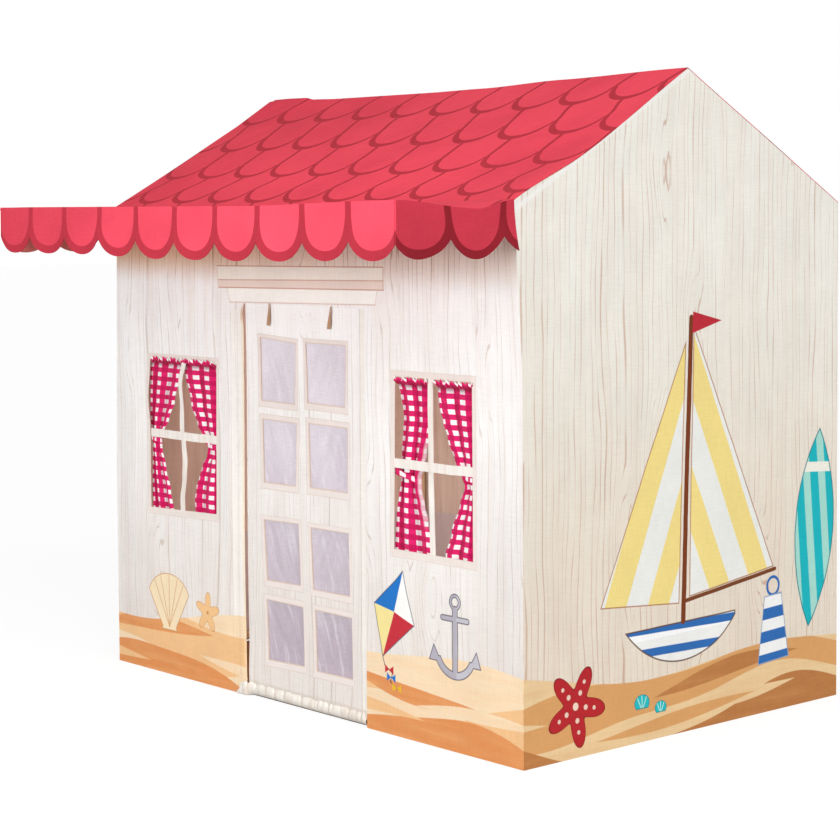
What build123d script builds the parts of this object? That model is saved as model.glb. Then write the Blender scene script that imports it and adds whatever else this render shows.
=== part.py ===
from build123d import *
import os
from math import atan2, ceil, cos, degrees, sin, sqrt, tan

# A child's play house, sewn from canvas like a beach house and pulled over a frame of
# wooden poles. Its front looks along -Y: two windows, a roll-up door between them, and a
# scalloped awning over all three. The ridge runs along X. Millimetres, +Z up, with the
# origin on the floor under the middle of the whole plan, awning included.

# The house
house_width = 1300.0
house_depth = 900.0
eaves_height = 1020.0
ridge_height = 1276.0
cloth = 2.0  # a doubled and hemmed canvas panel
seam = 0.3  # between a panel and what it is sewn to or hangs on

# The awning, with round scallops along its edge
awning_reach = 297.0
scallop_width = 130.0
scallop_side = 63.0
scallop_bow = 29.0

# The doorway and the flap that closes it
door_centre = 16.0
door_width = 388.0
door_height = 819.0
door_slit = 12.0  # the flap hangs this far short of the left jamb
door_tuck = 24.0  # sewn behind the right jamb
door_head_tuck = 40.0  # sewn behind the cloth over the doorway

# The flap's sheer panes: two columns, four rows in two sashes
pane_width = 122.0
pane_height = 132.0
pane_column_gap = 35.0
pane_row_gap = 34.0
sash_gap = 69.0
lowest_pane = 76.0
pane_centre = 10.0
sheer_cloth = 0.8
sheer_overlap = 6.0

# The ribbons that tie the rolled flap up
ribbon_centre = 4.0
ribbon_spread = 200.0
ribbon_width = 9.0
ribbon_length = 45.0
ribbon_cloth = 1.2

# The windows: open holes with a cross of hemmed cloth
left_window_shift = 13.0  # from the middle of its wall, towards the door
right_window_shift = 19.0
window_width = 231.0
window_height = 338.0
window_sill = 352.0
cross_bar_height = 521.0
bar_width = 15.0

# The curtains behind each window
curtain_bulk = 12.0
curtain_margin = 3.0
curtain_head = 12.0  # how far it reaches above the opening
curtain_hem = 1.0  # how far it stops above the sill
curtain_waist = 38.0
curtain_foot = 78.0
tape_cloth = 1.2
tape_height = 9.0
tie_height = 16.0

# The pole frame and its plastic sockets
pole_diameter = 22.0
pole_fit = 0.3
socket_wall = 3.0  # at the middle of each flat
arm_flats = 8
socket_depth = 45.0
knuckle = 1.0  # the block in the middle stands this far proud of the arms
knuckle_chamfer = 3.0
pole_stop = 16.0  # from the centre of a joint to the end of each pole in it

# Worked out
slope = atan2(ridge_height - eaves_height, house_depth / 2)
cloth_upright = cloth / cos(slope)
front_y = (awning_reach - house_depth) / 2
back_y = front_y + house_depth
ridge_y = front_y + house_depth / 2
awning_y = front_y - awning_reach
side_x = house_width / 2
wall_top = eaves_height - cloth_upright - seam
inner_front = front_y + cloth

socket_radius = pole_diameter / 2 + pole_fit + socket_wall
block_half = socket_radius + knuckle
pole_inset = cloth + seam + block_half
pole_x = side_x - pole_inset
pole_front = front_y + pole_inset
pole_back = back_y - pole_inset
pole_floor = block_half
pole_eaves = eaves_height - pole_inset
pole_ridge = pole_eaves + (house_depth / 2 - pole_inset) * tan(slope)
pole_awning = awning_y + pole_inset

door_left = door_centre - door_width / 2
door_right = door_centre + door_width / 2
window_z = window_sill + window_height / 2
window_centres = {
    "left": (door_left - side_x) / 2 + left_window_shift,
    "right": (door_right + side_x) / 2 - right_window_shift,
}
sides = {"left": -1, "right": 1}

os.makedirs("parts", exist_ok=True)


def save(piece, name):
    """Labels a finished piece and writes it."""
    piece.part.label = name
    export_step(piece.part, f"parts/{name}.step")


# The pole frame: poles between joint centres, held in moulded sockets


def add_pole(start, end):
    """Adds a round pole that ends inside the sockets at both joint centres."""
    run = Vector(*end) - Vector(*start)
    foot = Vector(*start) + run.normalized() * pole_stop
    with BuildSketch(Plane(origin=foot, z_dir=run)) as section:
        Circle(pole_diameter / 2)
    extrude(section.sketch, amount=run.length - 2 * pole_stop)


def add_socket(centre, directions):
    """Adds a block with one hollow arm along each direction, for a pole's end."""
    with Locations(centre):
        Box(2 * block_half, 2 * block_half, 2 * block_half)
    chamfer(edges(Select.LAST), length=knuckle_chamfer)
    for direction in directions:
        with BuildSketch(Plane(origin=centre, z_dir=direction)) as arm:
            half_turn = 180 / arm_flats  # so that a flat faces the cloth
            RegularPolygon(socket_radius, arm_flats, major_radius=False, rotation=half_turn)
        extrude(arm.sketch, amount=pole_stop + socket_depth)
    for direction in directions:
        mouth = Vector(*centre) + Vector(*direction).normalized() * pole_stop
        with BuildSketch(Plane(origin=mouth, z_dir=direction)) as bore:
            Circle(pole_diameter / 2 + pole_fit)
        extrude(bore.sketch, amount=socket_depth, mode=Mode.SUBTRACT)


for name, y in (("front_posts", pole_front), ("back_posts", pole_back)):
    with BuildPart() as posts:
        for x in (-pole_x, pole_x):
            add_pole((x, y, pole_floor), (x, y, pole_eaves))
    save(posts, name)

for name, y, z in (
    ("front_floor_pole", pole_front, pole_floor),
    ("back_floor_pole", pole_back, pole_floor),
    ("front_eaves_pole", pole_front, pole_eaves),
    ("back_eaves_pole", pole_back, pole_eaves),
    ("ridge_pole", ridge_y, pole_ridge),
    ("awning_front_pole", pole_awning, pole_eaves),
):
    with BuildPart() as pole:
        add_pole((-pole_x, y, z), (pole_x, y, z))
    save(pole, name)

for side, sign in sides.items():
    x = sign * pole_x
    with BuildPart() as side_floor_pole:
        add_pole((x, pole_front, pole_floor), (x, pole_back, pole_floor))
    save(side_floor_pole, f"{side}_floor_pole")
    with BuildPart() as rafters:
        for y in (pole_front, pole_back):
            add_pole((x, y, pole_eaves), (x, ridge_y, pole_ridge))
    save(rafters, f"{side}_rafters")

with BuildPart() as awning_arms:
    for x in (-pole_x, pole_x):
        add_pole((x, pole_front, pole_eaves), (x, pole_awning, pole_eaves))
save(awning_arms, "awning_arms")

up, down, forward, backward = (0, 0, 1), (0, 0, -1), (0, -1, 0), (0, 1, 0)
rise, run = sin(slope), cos(slope)

with BuildPart() as floor_sockets:
    for x, y, inward in (
        (-pole_x, pole_front, backward),
        (pole_x, pole_front, backward),
        (-pole_x, pole_back, forward),
        (pole_x, pole_back, forward),
    ):
        add_socket((x, y, pole_floor), [up, inward, (-x, 0, 0)])
save(floor_sockets, "floor_sockets")

with BuildPart() as eaves_sockets:
    for x in (-pole_x, pole_x):
        front_arms = [down, forward, (-x, 0, 0), (0, run, rise)]
        add_socket((x, pole_front, pole_eaves), front_arms)
        add_socket((x, pole_back, pole_eaves), [down, (-x, 0, 0), (0, -run, rise)])
save(eaves_sockets, "eaves_sockets")

with BuildPart() as ridge_sockets:
    for x in (-pole_x, pole_x):
        ridge_arms = [(-x, 0, 0), (0, -run, -rise), (0, run, -rise)]
        add_socket((x, ridge_y, pole_ridge), ridge_arms)
save(ridge_sockets, "ridge_sockets")

with BuildPart() as awning_sockets:
    for x in (-pole_x, pole_x):
        add_socket((x, pole_awning, pole_eaves), [backward, (-x, 0, 0)])
save(awning_sockets, "awning_sockets")


# The walls: flat canvas panels, with the front one in three so that the doorway is open

front_panel = Plane(origin=(0, inner_front, 0), x_dir=(1, 0, 0), z_dir=(0, -1, 0))
inside_front = Plane(origin=(0, inner_front, 0), x_dir=(-1, 0, 0), z_dir=(0, 1, 0))


def add_rectangle(low, high, mode=Mode.ADD):
    """Adds the rectangle between two corners to the sketch that is being made."""
    with Locations(((low[0] + high[0]) / 2, (low[1] + high[1]) / 2)):
        Rectangle(abs(high[0] - low[0]), high[1] - low[1], mode=mode)


jambs = {"left": door_left, "right": door_right}
notch = pole_inset + block_half + seam  # lets the awning's arm and its socket through

for side, sign in sides.items():
    with BuildPart() as front_wall:
        with BuildSketch(front_panel):
            add_rectangle((jambs[side], 0), (sign * side_x, wall_top))
            with Locations((window_centres[side], window_z)):
                Rectangle(window_width, window_height, mode=Mode.SUBTRACT)
            add_rectangle(
                (sign * (side_x - notch), eaves_height - notch),
                (sign * side_x, wall_top),
                Mode.SUBTRACT,
            )
        extrude(amount=cloth)
    save(front_wall, f"front_wall_{side}")

with BuildPart() as front_wall_header:
    with BuildSketch(front_panel):
        add_rectangle((door_left, door_height), (door_right, wall_top))
    extrude(amount=cloth)
save(front_wall_header, "front_wall_header")

with BuildPart() as back_wall:
    with BuildSketch(Plane(origin=(0, back_y, 0), x_dir=(1, 0, 0), z_dir=(0, -1, 0))):
        add_rectangle((-side_x, 0), (side_x, wall_top))
    extrude(amount=cloth)
save(back_wall, "back_wall")


def roof_height(y, depth):
    """The height of the front slope at y, depth below its outer face measured upright."""
    return eaves_height + (y - front_y) * tan(slope) - depth


gable_depth = cloth_upright + seam
for side, sign in sides.items():
    outer_face = Plane(origin=(sign * side_x, 0, 0), x_dir=(0, sign, 0), z_dir=(sign, 0, 0))
    with BuildPart() as gable_wall:
        with BuildSketch(outer_face):
            with BuildLine():
                Polyline(
                    (sign * (inner_front), 0),
                    (sign * (inner_front), roof_height(inner_front, gable_depth)),
                    (sign * ridge_y, roof_height(ridge_y, gable_depth)),
                    (sign * (back_y - cloth), roof_height(inner_front, gable_depth)),
                    (sign * (back_y - cloth), 0),
                    close=True,
                )
            make_face()
        extrude(amount=-cloth)
    save(gable_wall, f"gable_wall_{side}")


# The roof: two slopes of one canvas, seamed at the ridge

for name, edge_y in (("roof_front", front_y), ("roof_back", back_y)):
    with BuildPart() as roof_slope:
        with BuildSketch(Plane.YZ.offset(-side_x)):
            with BuildLine():
                Polyline(
                    (edge_y, eaves_height),
                    (ridge_y, ridge_height),
                    (ridge_y, ridge_height - cloth_upright),
                    (edge_y, eaves_height - cloth_upright),
                    close=True,
                )
            make_face()
        extrude(amount=house_width)
    save(roof_slope, name)


# The awning: a flat canopy with a scalloped valance on three sides

scallops = round(house_width / scallop_width)
scallop_pitch = house_width / scallops
valance_top = eaves_height - cloth


def scalloped_strip(length):
    """A strip that hangs below y = 0, from x = 0 to length, cut in scallops."""
    count = ceil(length / scallop_pitch)
    end = count * scallop_pitch
    with BuildSketch() as strip:
        with BuildLine():
            Polyline((0, -scallop_side), (0, 0), (end, 0), (end, -scallop_side))
            for i in range(count):
                ThreePointArc(
                    (i * scallop_pitch, -scallop_side),
                    ((i + 0.5) * scallop_pitch, -scallop_side - scallop_bow),
                    ((i + 1) * scallop_pitch, -scallop_side),
                )
        make_face()
        with Locations((length / 2, 0)):
            Rectangle(length, 2 * (scallop_side + scallop_bow), mode=Mode.INTERSECT)
    return strip.sketch


with BuildPart() as awning_canopy:
    with BuildSketch(Plane.XY.offset(valance_top)):
        add_rectangle((-side_x, awning_y), (side_x, front_y))
    extrude(amount=cloth)
save(awning_canopy, "awning_canopy")

front_edge = Plane(
    origin=(-side_x, awning_y + cloth, valance_top), x_dir=(1, 0, 0), z_dir=(0, -1, 0)
)
with BuildPart() as valance_front:
    with BuildSketch(front_edge):
        add(scalloped_strip(house_width))
    extrude(amount=cloth)
save(valance_front, "valance_front")

for side, inner_x in (("left", -side_x), ("right", side_x - cloth)):
    side_edge = Plane(
        origin=(inner_x, awning_y + cloth, valance_top), x_dir=(0, 1, 0), z_dir=(1, 0, 0)
    )
    with BuildPart() as valance_side:
        with BuildSketch(side_edge):
            add(scalloped_strip(awning_reach - cloth))
        extrude(amount=cloth)
    save(valance_side, f"valance_{side}")


# The door: a canvas flap with sheer panes, hemmed at its foot into a sleeve on the floor pole

sleeve_radius = pole_floor
flap_face = inner_front + seam
flap_reach = pole_front - flap_face - cloth  # from the pole's axis to the flap's inner face
flap_bottom = pole_floor + sqrt((sleeve_radius + seam) ** 2 - flap_reach**2)
flap_left = door_left + door_slit
flap_right = door_right + door_tuck
flap_plane = Plane(origin=(0, flap_face + cloth, 0), x_dir=(1, 0, 0), z_dir=(0, -1, 0))

pane_x = (pane_width + pane_column_gap) / 2
row_pitch = pane_height + pane_row_gap
sash_pitch = 2 * pane_height + pane_row_gap + sash_gap
pane_places = [
    (pane_centre + column * pane_x, lowest_pane + pane_height / 2 + sash * sash_pitch + row * row_pitch)
    for sash in (0, 1)
    for row in (0, 1)
    for column in (-1, 1)
]

with BuildPart() as door_flap:
    with BuildSketch(flap_plane):
        add_rectangle((flap_left, flap_bottom), (flap_right, door_height + door_head_tuck))
        with Locations(*pane_places):
            Rectangle(pane_width, pane_height, mode=Mode.SUBTRACT)
    extrude(amount=cloth)
save(door_flap, "door_flap")

sheer_plane = flap_plane.offset(-seam - sheer_cloth)
with BuildPart() as door_sheers:
    with BuildSketch(sheer_plane):
        with Locations(*pane_places):
            Rectangle(pane_width + 2 * sheer_overlap, pane_height + 2 * sheer_overlap)
    extrude(amount=sheer_cloth)
save(door_sheers, "door_sheers")

sleeve_end = Plane(origin=(door_left, pole_front, pole_floor), z_dir=(1, 0, 0))
with BuildPart() as threshold_sleeve:
    with BuildSketch(sleeve_end):
        Circle(sleeve_radius)
        Circle(pole_diameter / 2 + seam, mode=Mode.SUBTRACT)
    extrude(amount=door_width)
save(threshold_sleeve, "threshold_sleeve")

with BuildPart() as door_ribbons:
    ribbon_place = Plane(
        origin=(ribbon_centre, inner_front, door_height),
        x_dir=(1, 0, 0),
        z_dir=(0, -1, 0),
    )
    with BuildSketch(ribbon_place):
        for sign in (-1, 1):
            with BuildLine():
                middle = sign * ribbon_spread / 2
                Polyline(
                    (middle - ribbon_width / 4, 0),
                    (middle + ribbon_width / 4, 0),
                    (middle + ribbon_width / 2, -ribbon_length),
                    (middle - ribbon_width / 2, -ribbon_length),
                    close=True,
                )
            make_face()
    extrude(amount=ribbon_cloth)
save(door_ribbons, "door_ribbons")


# The windows: a cross of hemmed cloth in each, and a pair of tied curtains behind it

half_window = window_width / 2
window_top = window_sill + window_height
curtain_face = inner_front + seam + tape_cloth + seam

for side, centre in window_centres.items():
    with BuildPart() as window_cross:
        with BuildSketch(front_panel):
            with Locations((centre, window_z)):
                Rectangle(bar_width, window_height)
            with Locations((centre, cross_bar_height)):
                Rectangle(window_width, bar_width)
        extrude(amount=cloth)
    save(window_cross, f"window_cross_{side}")


def add_curtain(centre, sign):
    """Adds one curtain's outline: full at the head, tied at the waist, flared below."""
    outer = centre + sign * (half_window - curtain_margin)
    head = window_top + curtain_head
    foot = window_sill + curtain_hem
    drop = head - cross_bar_height
    fall = cross_bar_height - foot
    head_inner = centre + sign * (bar_width / 2 + curtain_margin)
    waist = outer - sign * curtain_waist
    foot_inner = outer - sign * curtain_foot
    with BuildLine() as outline:
        Polyline(
            (waist, cross_bar_height),
            (foot_inner, foot),
            (outer, foot),
            (outer, head),
            (head_inner, head),
        )
        bulge = head_inner + (waist - head_inner) * 0.42
        ThreePointArc(
            (head_inner, head), (bulge, head - drop * 0.5), (waist, cross_bar_height)
        )
    make_face(outline.edges())


for side, centre in window_centres.items():
    for hand, sign in sides.items():
        with BuildPart() as curtain:
            with BuildSketch(Plane(origin=(0, curtain_face, 0), x_dir=(1, 0, 0), z_dir=(0, -1, 0))):
                add_curtain(centre, sign)
            extrude(amount=-curtain_bulk)
        save(curtain, f"{side}_window_{hand}_curtain")

with BuildPart() as curtain_tapes:
    with BuildSketch(Plane(origin=(0, curtain_face - seam, 0), x_dir=(1, 0, 0), z_dir=(0, -1, 0))):
        for centre in window_centres.values():
            with Locations((centre, window_top + curtain_head - tape_height / 2)):
                Rectangle(window_width - 2 * curtain_margin, tape_height)
    extrude(amount=tape_cloth)
save(curtain_tapes, "curtain_tapes")

waist_centre = half_window - curtain_margin - curtain_waist / 2
tie_spots = [
    (centre + sign * waist_centre, curtain_face + curtain_bulk / 2)
    for centre in window_centres.values()
    for sign in (-1, 1)
]
with BuildPart() as tie_backs:
    with BuildSketch(Plane.XY.offset(cross_bar_height - tie_height / 2)):
        with Locations(*tie_spots):
            flare = 2 * seam + tie_height / 2
            Rectangle(curtain_waist + flare + 2 * tape_cloth, curtain_bulk + 2 * (seam + tape_cloth))
            Rectangle(curtain_waist + flare, curtain_bulk + 2 * seam, mode=Mode.SUBTRACT)
    extrude(amount=tie_height)
save(tie_backs, "tie_backs")
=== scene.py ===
# %% [markdown]
# # A child's canvas play house
#
# The real object is a play house for a child: a tent of printed canvas, sewn like a beach
# house, that is pulled over a frame of wooden poles in plastic corner sockets. The poles
# and sockets are already modelled, at their real size, in the frame that the next cell
# loads. Everything made of cloth is modelled here, in metres, in the same place, and every
# surface gets its finish. The front looks along -Y, the ridge runs along X, and Z is up.

# %% Load the fixed frame
from math import atan2, cos, exp, hypot, pi, radians, sin, sqrt

import bpy
from mathutils import Matrix, Vector, noise


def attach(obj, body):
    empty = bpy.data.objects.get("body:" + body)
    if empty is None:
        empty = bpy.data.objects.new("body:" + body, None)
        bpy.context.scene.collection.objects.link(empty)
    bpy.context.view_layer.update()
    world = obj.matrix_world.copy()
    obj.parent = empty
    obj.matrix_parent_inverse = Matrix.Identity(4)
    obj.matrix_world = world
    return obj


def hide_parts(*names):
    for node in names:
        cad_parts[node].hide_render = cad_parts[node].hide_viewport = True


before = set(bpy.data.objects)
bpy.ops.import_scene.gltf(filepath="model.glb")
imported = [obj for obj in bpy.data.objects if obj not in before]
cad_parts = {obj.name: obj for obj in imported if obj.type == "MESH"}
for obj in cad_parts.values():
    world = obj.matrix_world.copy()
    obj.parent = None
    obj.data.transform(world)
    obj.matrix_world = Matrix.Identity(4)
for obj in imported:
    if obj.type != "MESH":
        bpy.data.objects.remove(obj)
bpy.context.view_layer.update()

print("frame nodes:", len(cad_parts))

# %% [markdown]
# ## The sizes that the cloth keeps to
#
# A canvas cover is cut to fit its frame, so its sizes are the frame's. They could be read
# off each pole, but naming them once makes every later cell easier to follow: the house is
# 1.3 m wide and 0.9 m deep, the eaves are at 1.02 m, and the awning reaches 0.297 m
# forward.

# %% Sizes of the house
side = 0.650
front, back, ridge = -0.3015, 0.5985, 0.1485
awning_edge = -0.5985
eaves, peak = 1.020, 1.276
slope = atan2(peak - eaves, ridge - front)

door = (-0.178, 0.0, 0.210, 0.819)  # left, bottom, right, top
window_middles = {"left": -0.401, "right": 0.411}
window_size = (0.231, 0.338)
window_sill = 0.352
windows = {
    name: (x - window_size[0] / 2, window_sill, x + window_size[0] / 2, window_sill + window_size[1])
    for name, x in window_middles.items()
}
print("roof slope, degrees:", round(slope * 180 / pi, 1))

# %% [markdown]
# ## The camera
#
# A studio photograph of a toy is taken from a little way off with a long lens, so that its
# upright edges stay upright. The camera could be aimed at the object's middle, but the
# picture keeps verticals parallel by looking almost level and shifting the lens down, and
# this camera does the same.

# %% Camera
camera_place = (3.4454, -2.9955, 1.0186)
swing, dip, roll = radians(48.746), radians(2.985), radians(-0.348)
camera_data = bpy.data.cameras.new("studio_camera")
camera_data.lens = 93.38
camera_data.sensor_width = 36
camera_data.shift_y = -0.1202
camera = bpy.data.objects.new("studio_camera", camera_data)
bpy.context.scene.collection.objects.link(camera)
look_round = Matrix.Rotation(swing, 4, "Z")
look_down = Matrix.Rotation(pi / 2 - dip, 4, "X")
lean = Matrix.Rotation(roll, 4, "Z")
camera.matrix_world = Matrix.Translation(camera_place) @ look_round @ look_down @ lean
bpy.context.scene.camera = camera
print("camera at", camera_place)

# %% [markdown]
# ## The lamps
#
# The light is even and soft. One large lamp would leave the gable dark and many lamps
# would take the shape away, so there are three outside the house. The strongest stands in
# front of it, a little above the eaves, which gives the short soft shadow under the
# awning. A weak one from above lights the roof, and one from the right, as broad as an
# overcast sun, fills the gable. A small lamp inside the doorway stands for the light that
# the pale lining throws about, so that what shows through the windows isn't dark.

# %% Lamps


def aim(lamp, place, target):
    """Puts a lamp at a place and turns it to its target."""
    toward = Vector(target) - Vector(place)
    lamp.matrix_world = Matrix.Translation(place) @ toward.to_track_quat("-Z", "Y").to_matrix().to_4x4()


def add_softbox(name, place, target, size, strength, colour=(1.0, 1.0, 1.0)):
    """Adds a flat lamp with the given width and height, in metres, that stays out of sight."""
    data = bpy.data.lights.new(name, "AREA")
    data.shape = "RECTANGLE"
    data.size, data.size_y = size
    data.energy = strength
    data.color = colour
    lamp = bpy.data.objects.new(name, data)
    bpy.context.scene.collection.objects.link(lamp)
    aim(lamp, place, target)
    lamp.visible_camera = False
    print(name, "at", place, strength, "W")


add_softbox("key_lamp", (0.28, -3.4, 1.15), (0.05, -0.3, 0.6), (1.2, 1.0), 51.0)
add_softbox("top_lamp", (1.5, -1.3, 2.6), (0.1, -0.05, 1.1), (1.2, 1.2), 9.0)
add_softbox("inside_lamp", (0.15, -0.262, 0.52), (0.15, 0.5, 0.52), (0.6, 0.7), 5.8, (1.0, 0.93, 0.88))

fill_data = bpy.data.lights.new("fill_lamp", "SUN")
fill_data.energy = 1.70
fill_data.angle = radians(40)
fill_lamp = bpy.data.objects.new("fill_lamp", fill_data)
bpy.context.scene.collection.objects.link(fill_lamp)
aim(fill_lamp, (4.0, -0.85, 2.3), (0.0, 0.0, 0.5))

# %% [markdown]
# ## Nodes made by short calls
#
# A material, the world and a shared effect are all trees of nodes. Each node could be made
# and linked with a few lines of its own, but a print has hundreds of them. So each kind
# gets a short call: it makes the node, links or sets what goes in, and gives back what
# comes out. Such calls stand inside each other as written mathematics does.

# %% Nodes made by short calls


class Nodes:
    """Adds nodes to one tree and links them as it goes. Each call returns a socket."""

    def __init__(self, tree):
        self.tree = tree

    def feed(self, node, inputs):
        """Links each input that is another node's output, and sets each that is a value."""
        for socket, value in inputs.items():
            if isinstance(value, bpy.types.NodeSocket):
                self.tree.links.new(value, node.inputs[socket])
            else:
                node.inputs[socket].default_value = value

    def add(self, kind, inputs, output=0, **settings):
        node = self.tree.nodes.new(kind)
        for name, value in settings.items():
            setattr(node, name, value)
        self.feed(node, inputs)
        return node.outputs[output]

    def group(self, name, inputs):
        node = self.tree.nodes.new("ShaderNodeGroup")
        node.node_tree = bpy.data.node_groups[name]
        self.feed(node, inputs)
        return node.outputs

    def math(self, operation, *values):
        return self.add("ShaderNodeMath", dict(enumerate(values)), operation=operation)

    def vector(self, operation, *values, output=0):
        return self.add("ShaderNodeVectorMath", dict(enumerate(values)), output, operation=operation)

    def ramp(self, value, low, high, to_low=0.0, to_high=1.0):
        inputs = dict(enumerate((value, low, high, to_low, to_high)))
        return self.add("ShaderNodeMapRange", inputs, interpolation_type="SMOOTHSTEP")

    def mix(self, share, first, second, way="MIX"):
        inputs = {0: share, 6: first, 7: second}
        return self.add("ShaderNodeMix", inputs, 2, data_type="RGBA", blend_type=way)

    def noise(self, point, stretch, detail=2.0):
        point = self.vector("MULTIPLY", point, (*stretch, 1) if len(stretch) == 2 else stretch)
        return self.add("ShaderNodeTexNoise", {"Vector": point, "Scale": 1.0, "Detail": detail})

    def split(self, point):
        node = self.tree.nodes.new("ShaderNodeSeparateXYZ")
        self.tree.links.new(point, node.inputs[0])
        return node.outputs

    def join(self, x, y, z=0.0):
        return self.add("ShaderNodeCombineXYZ", {0: x, 1: y, 2: z})

    def without(self, shape, gone):
        """A shape, as a distance, less another shape."""
        return self.math("MAXIMUM", shape, self.math("MULTIPLY", gone, -1.0))

    def object_point(self):
        return self.tree.nodes.new("ShaderNodeTexCoord").outputs["Object"]

    def pattern_point(self):
        return self.tree.nodes.new("ShaderNodeTexCoord").outputs["UV"]


print("short calls:", len([name for name in vars(Nodes) if not name.startswith("_")]))

# %% [markdown]
# ## The world
#
# The world adds light from all round, a little blue as in a studio with white walls. It
# could be one plain colour, but then the background would be as dim as that light. So
# where the camera, a reflection or clear glass sees the world, it is plain white.

# %% World
world = bpy.data.worlds.new("studio")
bpy.context.scene.world = world
world.use_nodes = True
nodes = Nodes(world.node_tree)
plain = nodes.tree.nodes["Background"]
nodes.feed(plain, {"Color": (0.97, 0.98, 1.0, 1), "Strength": 0.42})
white = nodes.add("ShaderNodeBackground", {"Color": (1, 1, 1, 1)})
rays = nodes.tree.nodes.new("ShaderNodeLightPath").outputs
seen = nodes.math("MAXIMUM", rays["Is Camera Ray"], rays["Is Glossy Ray"])
seen = nodes.math("MAXIMUM", seen, rays["Is Transmission Ray"])
blend = nodes.add("ShaderNodeMixShader", {0: seen, 1: plain.outputs[0], 2: white})
nodes.tree.links.new(blend, nodes.tree.nodes["World Output"].inputs["Surface"])
bpy.context.scene.view_settings.view_transform = "Standard"
print("world nodes:", len(nodes.tree.nodes))

# %% [markdown]
# ## The floor
#
# The floor is a wide pale sheet. A plain white one renders light grey, so most of what the
# camera sees of it is white by itself, and the rest is lit as usual. That leaves a faint
# shadow where the cloth meets the floor, as in the studio. Inside the house the floor is
# in the shade of the cloth, so there it isn't white by itself, and it is painted dark brown
# there, a painted shade.

# %% Floor
bpy.ops.object.select_all(action="DESELECT")
bpy.ops.mesh.primitive_plane_add(size=60, location=(0, 0, 0))
floor = bpy.context.object
floor.name = "studio_floor"
floor_paint = bpy.data.materials.new("studio_floor")
floor_paint.use_nodes = True
nodes = Nodes(floor_paint.node_tree)

# The two floors meet a little inside the walls, where the cloth hides the line
under_wall = 0.012
aside = nodes.vector("ABSOLUTE", nodes.vector("SUBTRACT", nodes.object_point(), (0, ridge, 0)))
half_plan = (side - under_wall, back - ridge - under_wall, 0)
x, y, _ = nodes.split(nodes.vector("SUBTRACT", aside, half_plan))
outside = nodes.math("GREATER_THAN", nodes.math("MAXIMUM", x, y), 0.0)

white_share, white_strength = 0.72, 1.24
rays = nodes.tree.nodes.new("ShaderNodeLightPath").outputs
by_itself = nodes.math("MULTIPLY", nodes.math("MULTIPLY", rays["Is Camera Ray"], white_share), outside)
lit = nodes.tree.nodes["Principled BSDF"]
# Painted shade: the floor inside the house is dark brown
floor_colour_with_painted_shade = nodes.mix(outside, (0.36, 0.20, 0.12, 1), (0.52, 0.52, 0.52, 1))
nodes.feed(lit, {"Base Color": floor_colour_with_painted_shade, "Roughness": 0.9, "Specular IOR Level": 0.0})
glow = nodes.add("ShaderNodeEmission", {"Strength": white_strength})
blend = nodes.add("ShaderNodeMixShader", {0: by_itself, 1: lit.outputs[0], 2: glow})
nodes.tree.links.new(blend, nodes.tree.nodes["Material Output"].inputs["Surface"])
floor.data.materials.append(floor_paint)
print("floor nodes:", len(nodes.tree.nodes))

# %% [markdown]
# ## Drawing with distances
#
# A print is a picture in flat inks. An image could hold it, but an image blurs when seen
# close, so this lesson draws with the shader's own mathematics. Each shape is a number at
# every point of the cloth: the distance, in metres, to the shape's outline, below zero
# inside it. The larger of two such numbers is where both shapes overlap, and the smaller
# is the two joined. Painting a shape turns its number into a mask and mixes in the ink.

# %% Inks and shapes


def ink(code):
    """A colour as the shader wants it, from the usual six digits."""
    parts = [int(code[i : i + 2], 16) / 255 for i in (0, 2, 4)]
    return (*[p / 12.92 if p <= 0.04045 else ((p + 0.055) / 1.055) ** 2.4 for p in parts], 1)


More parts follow.
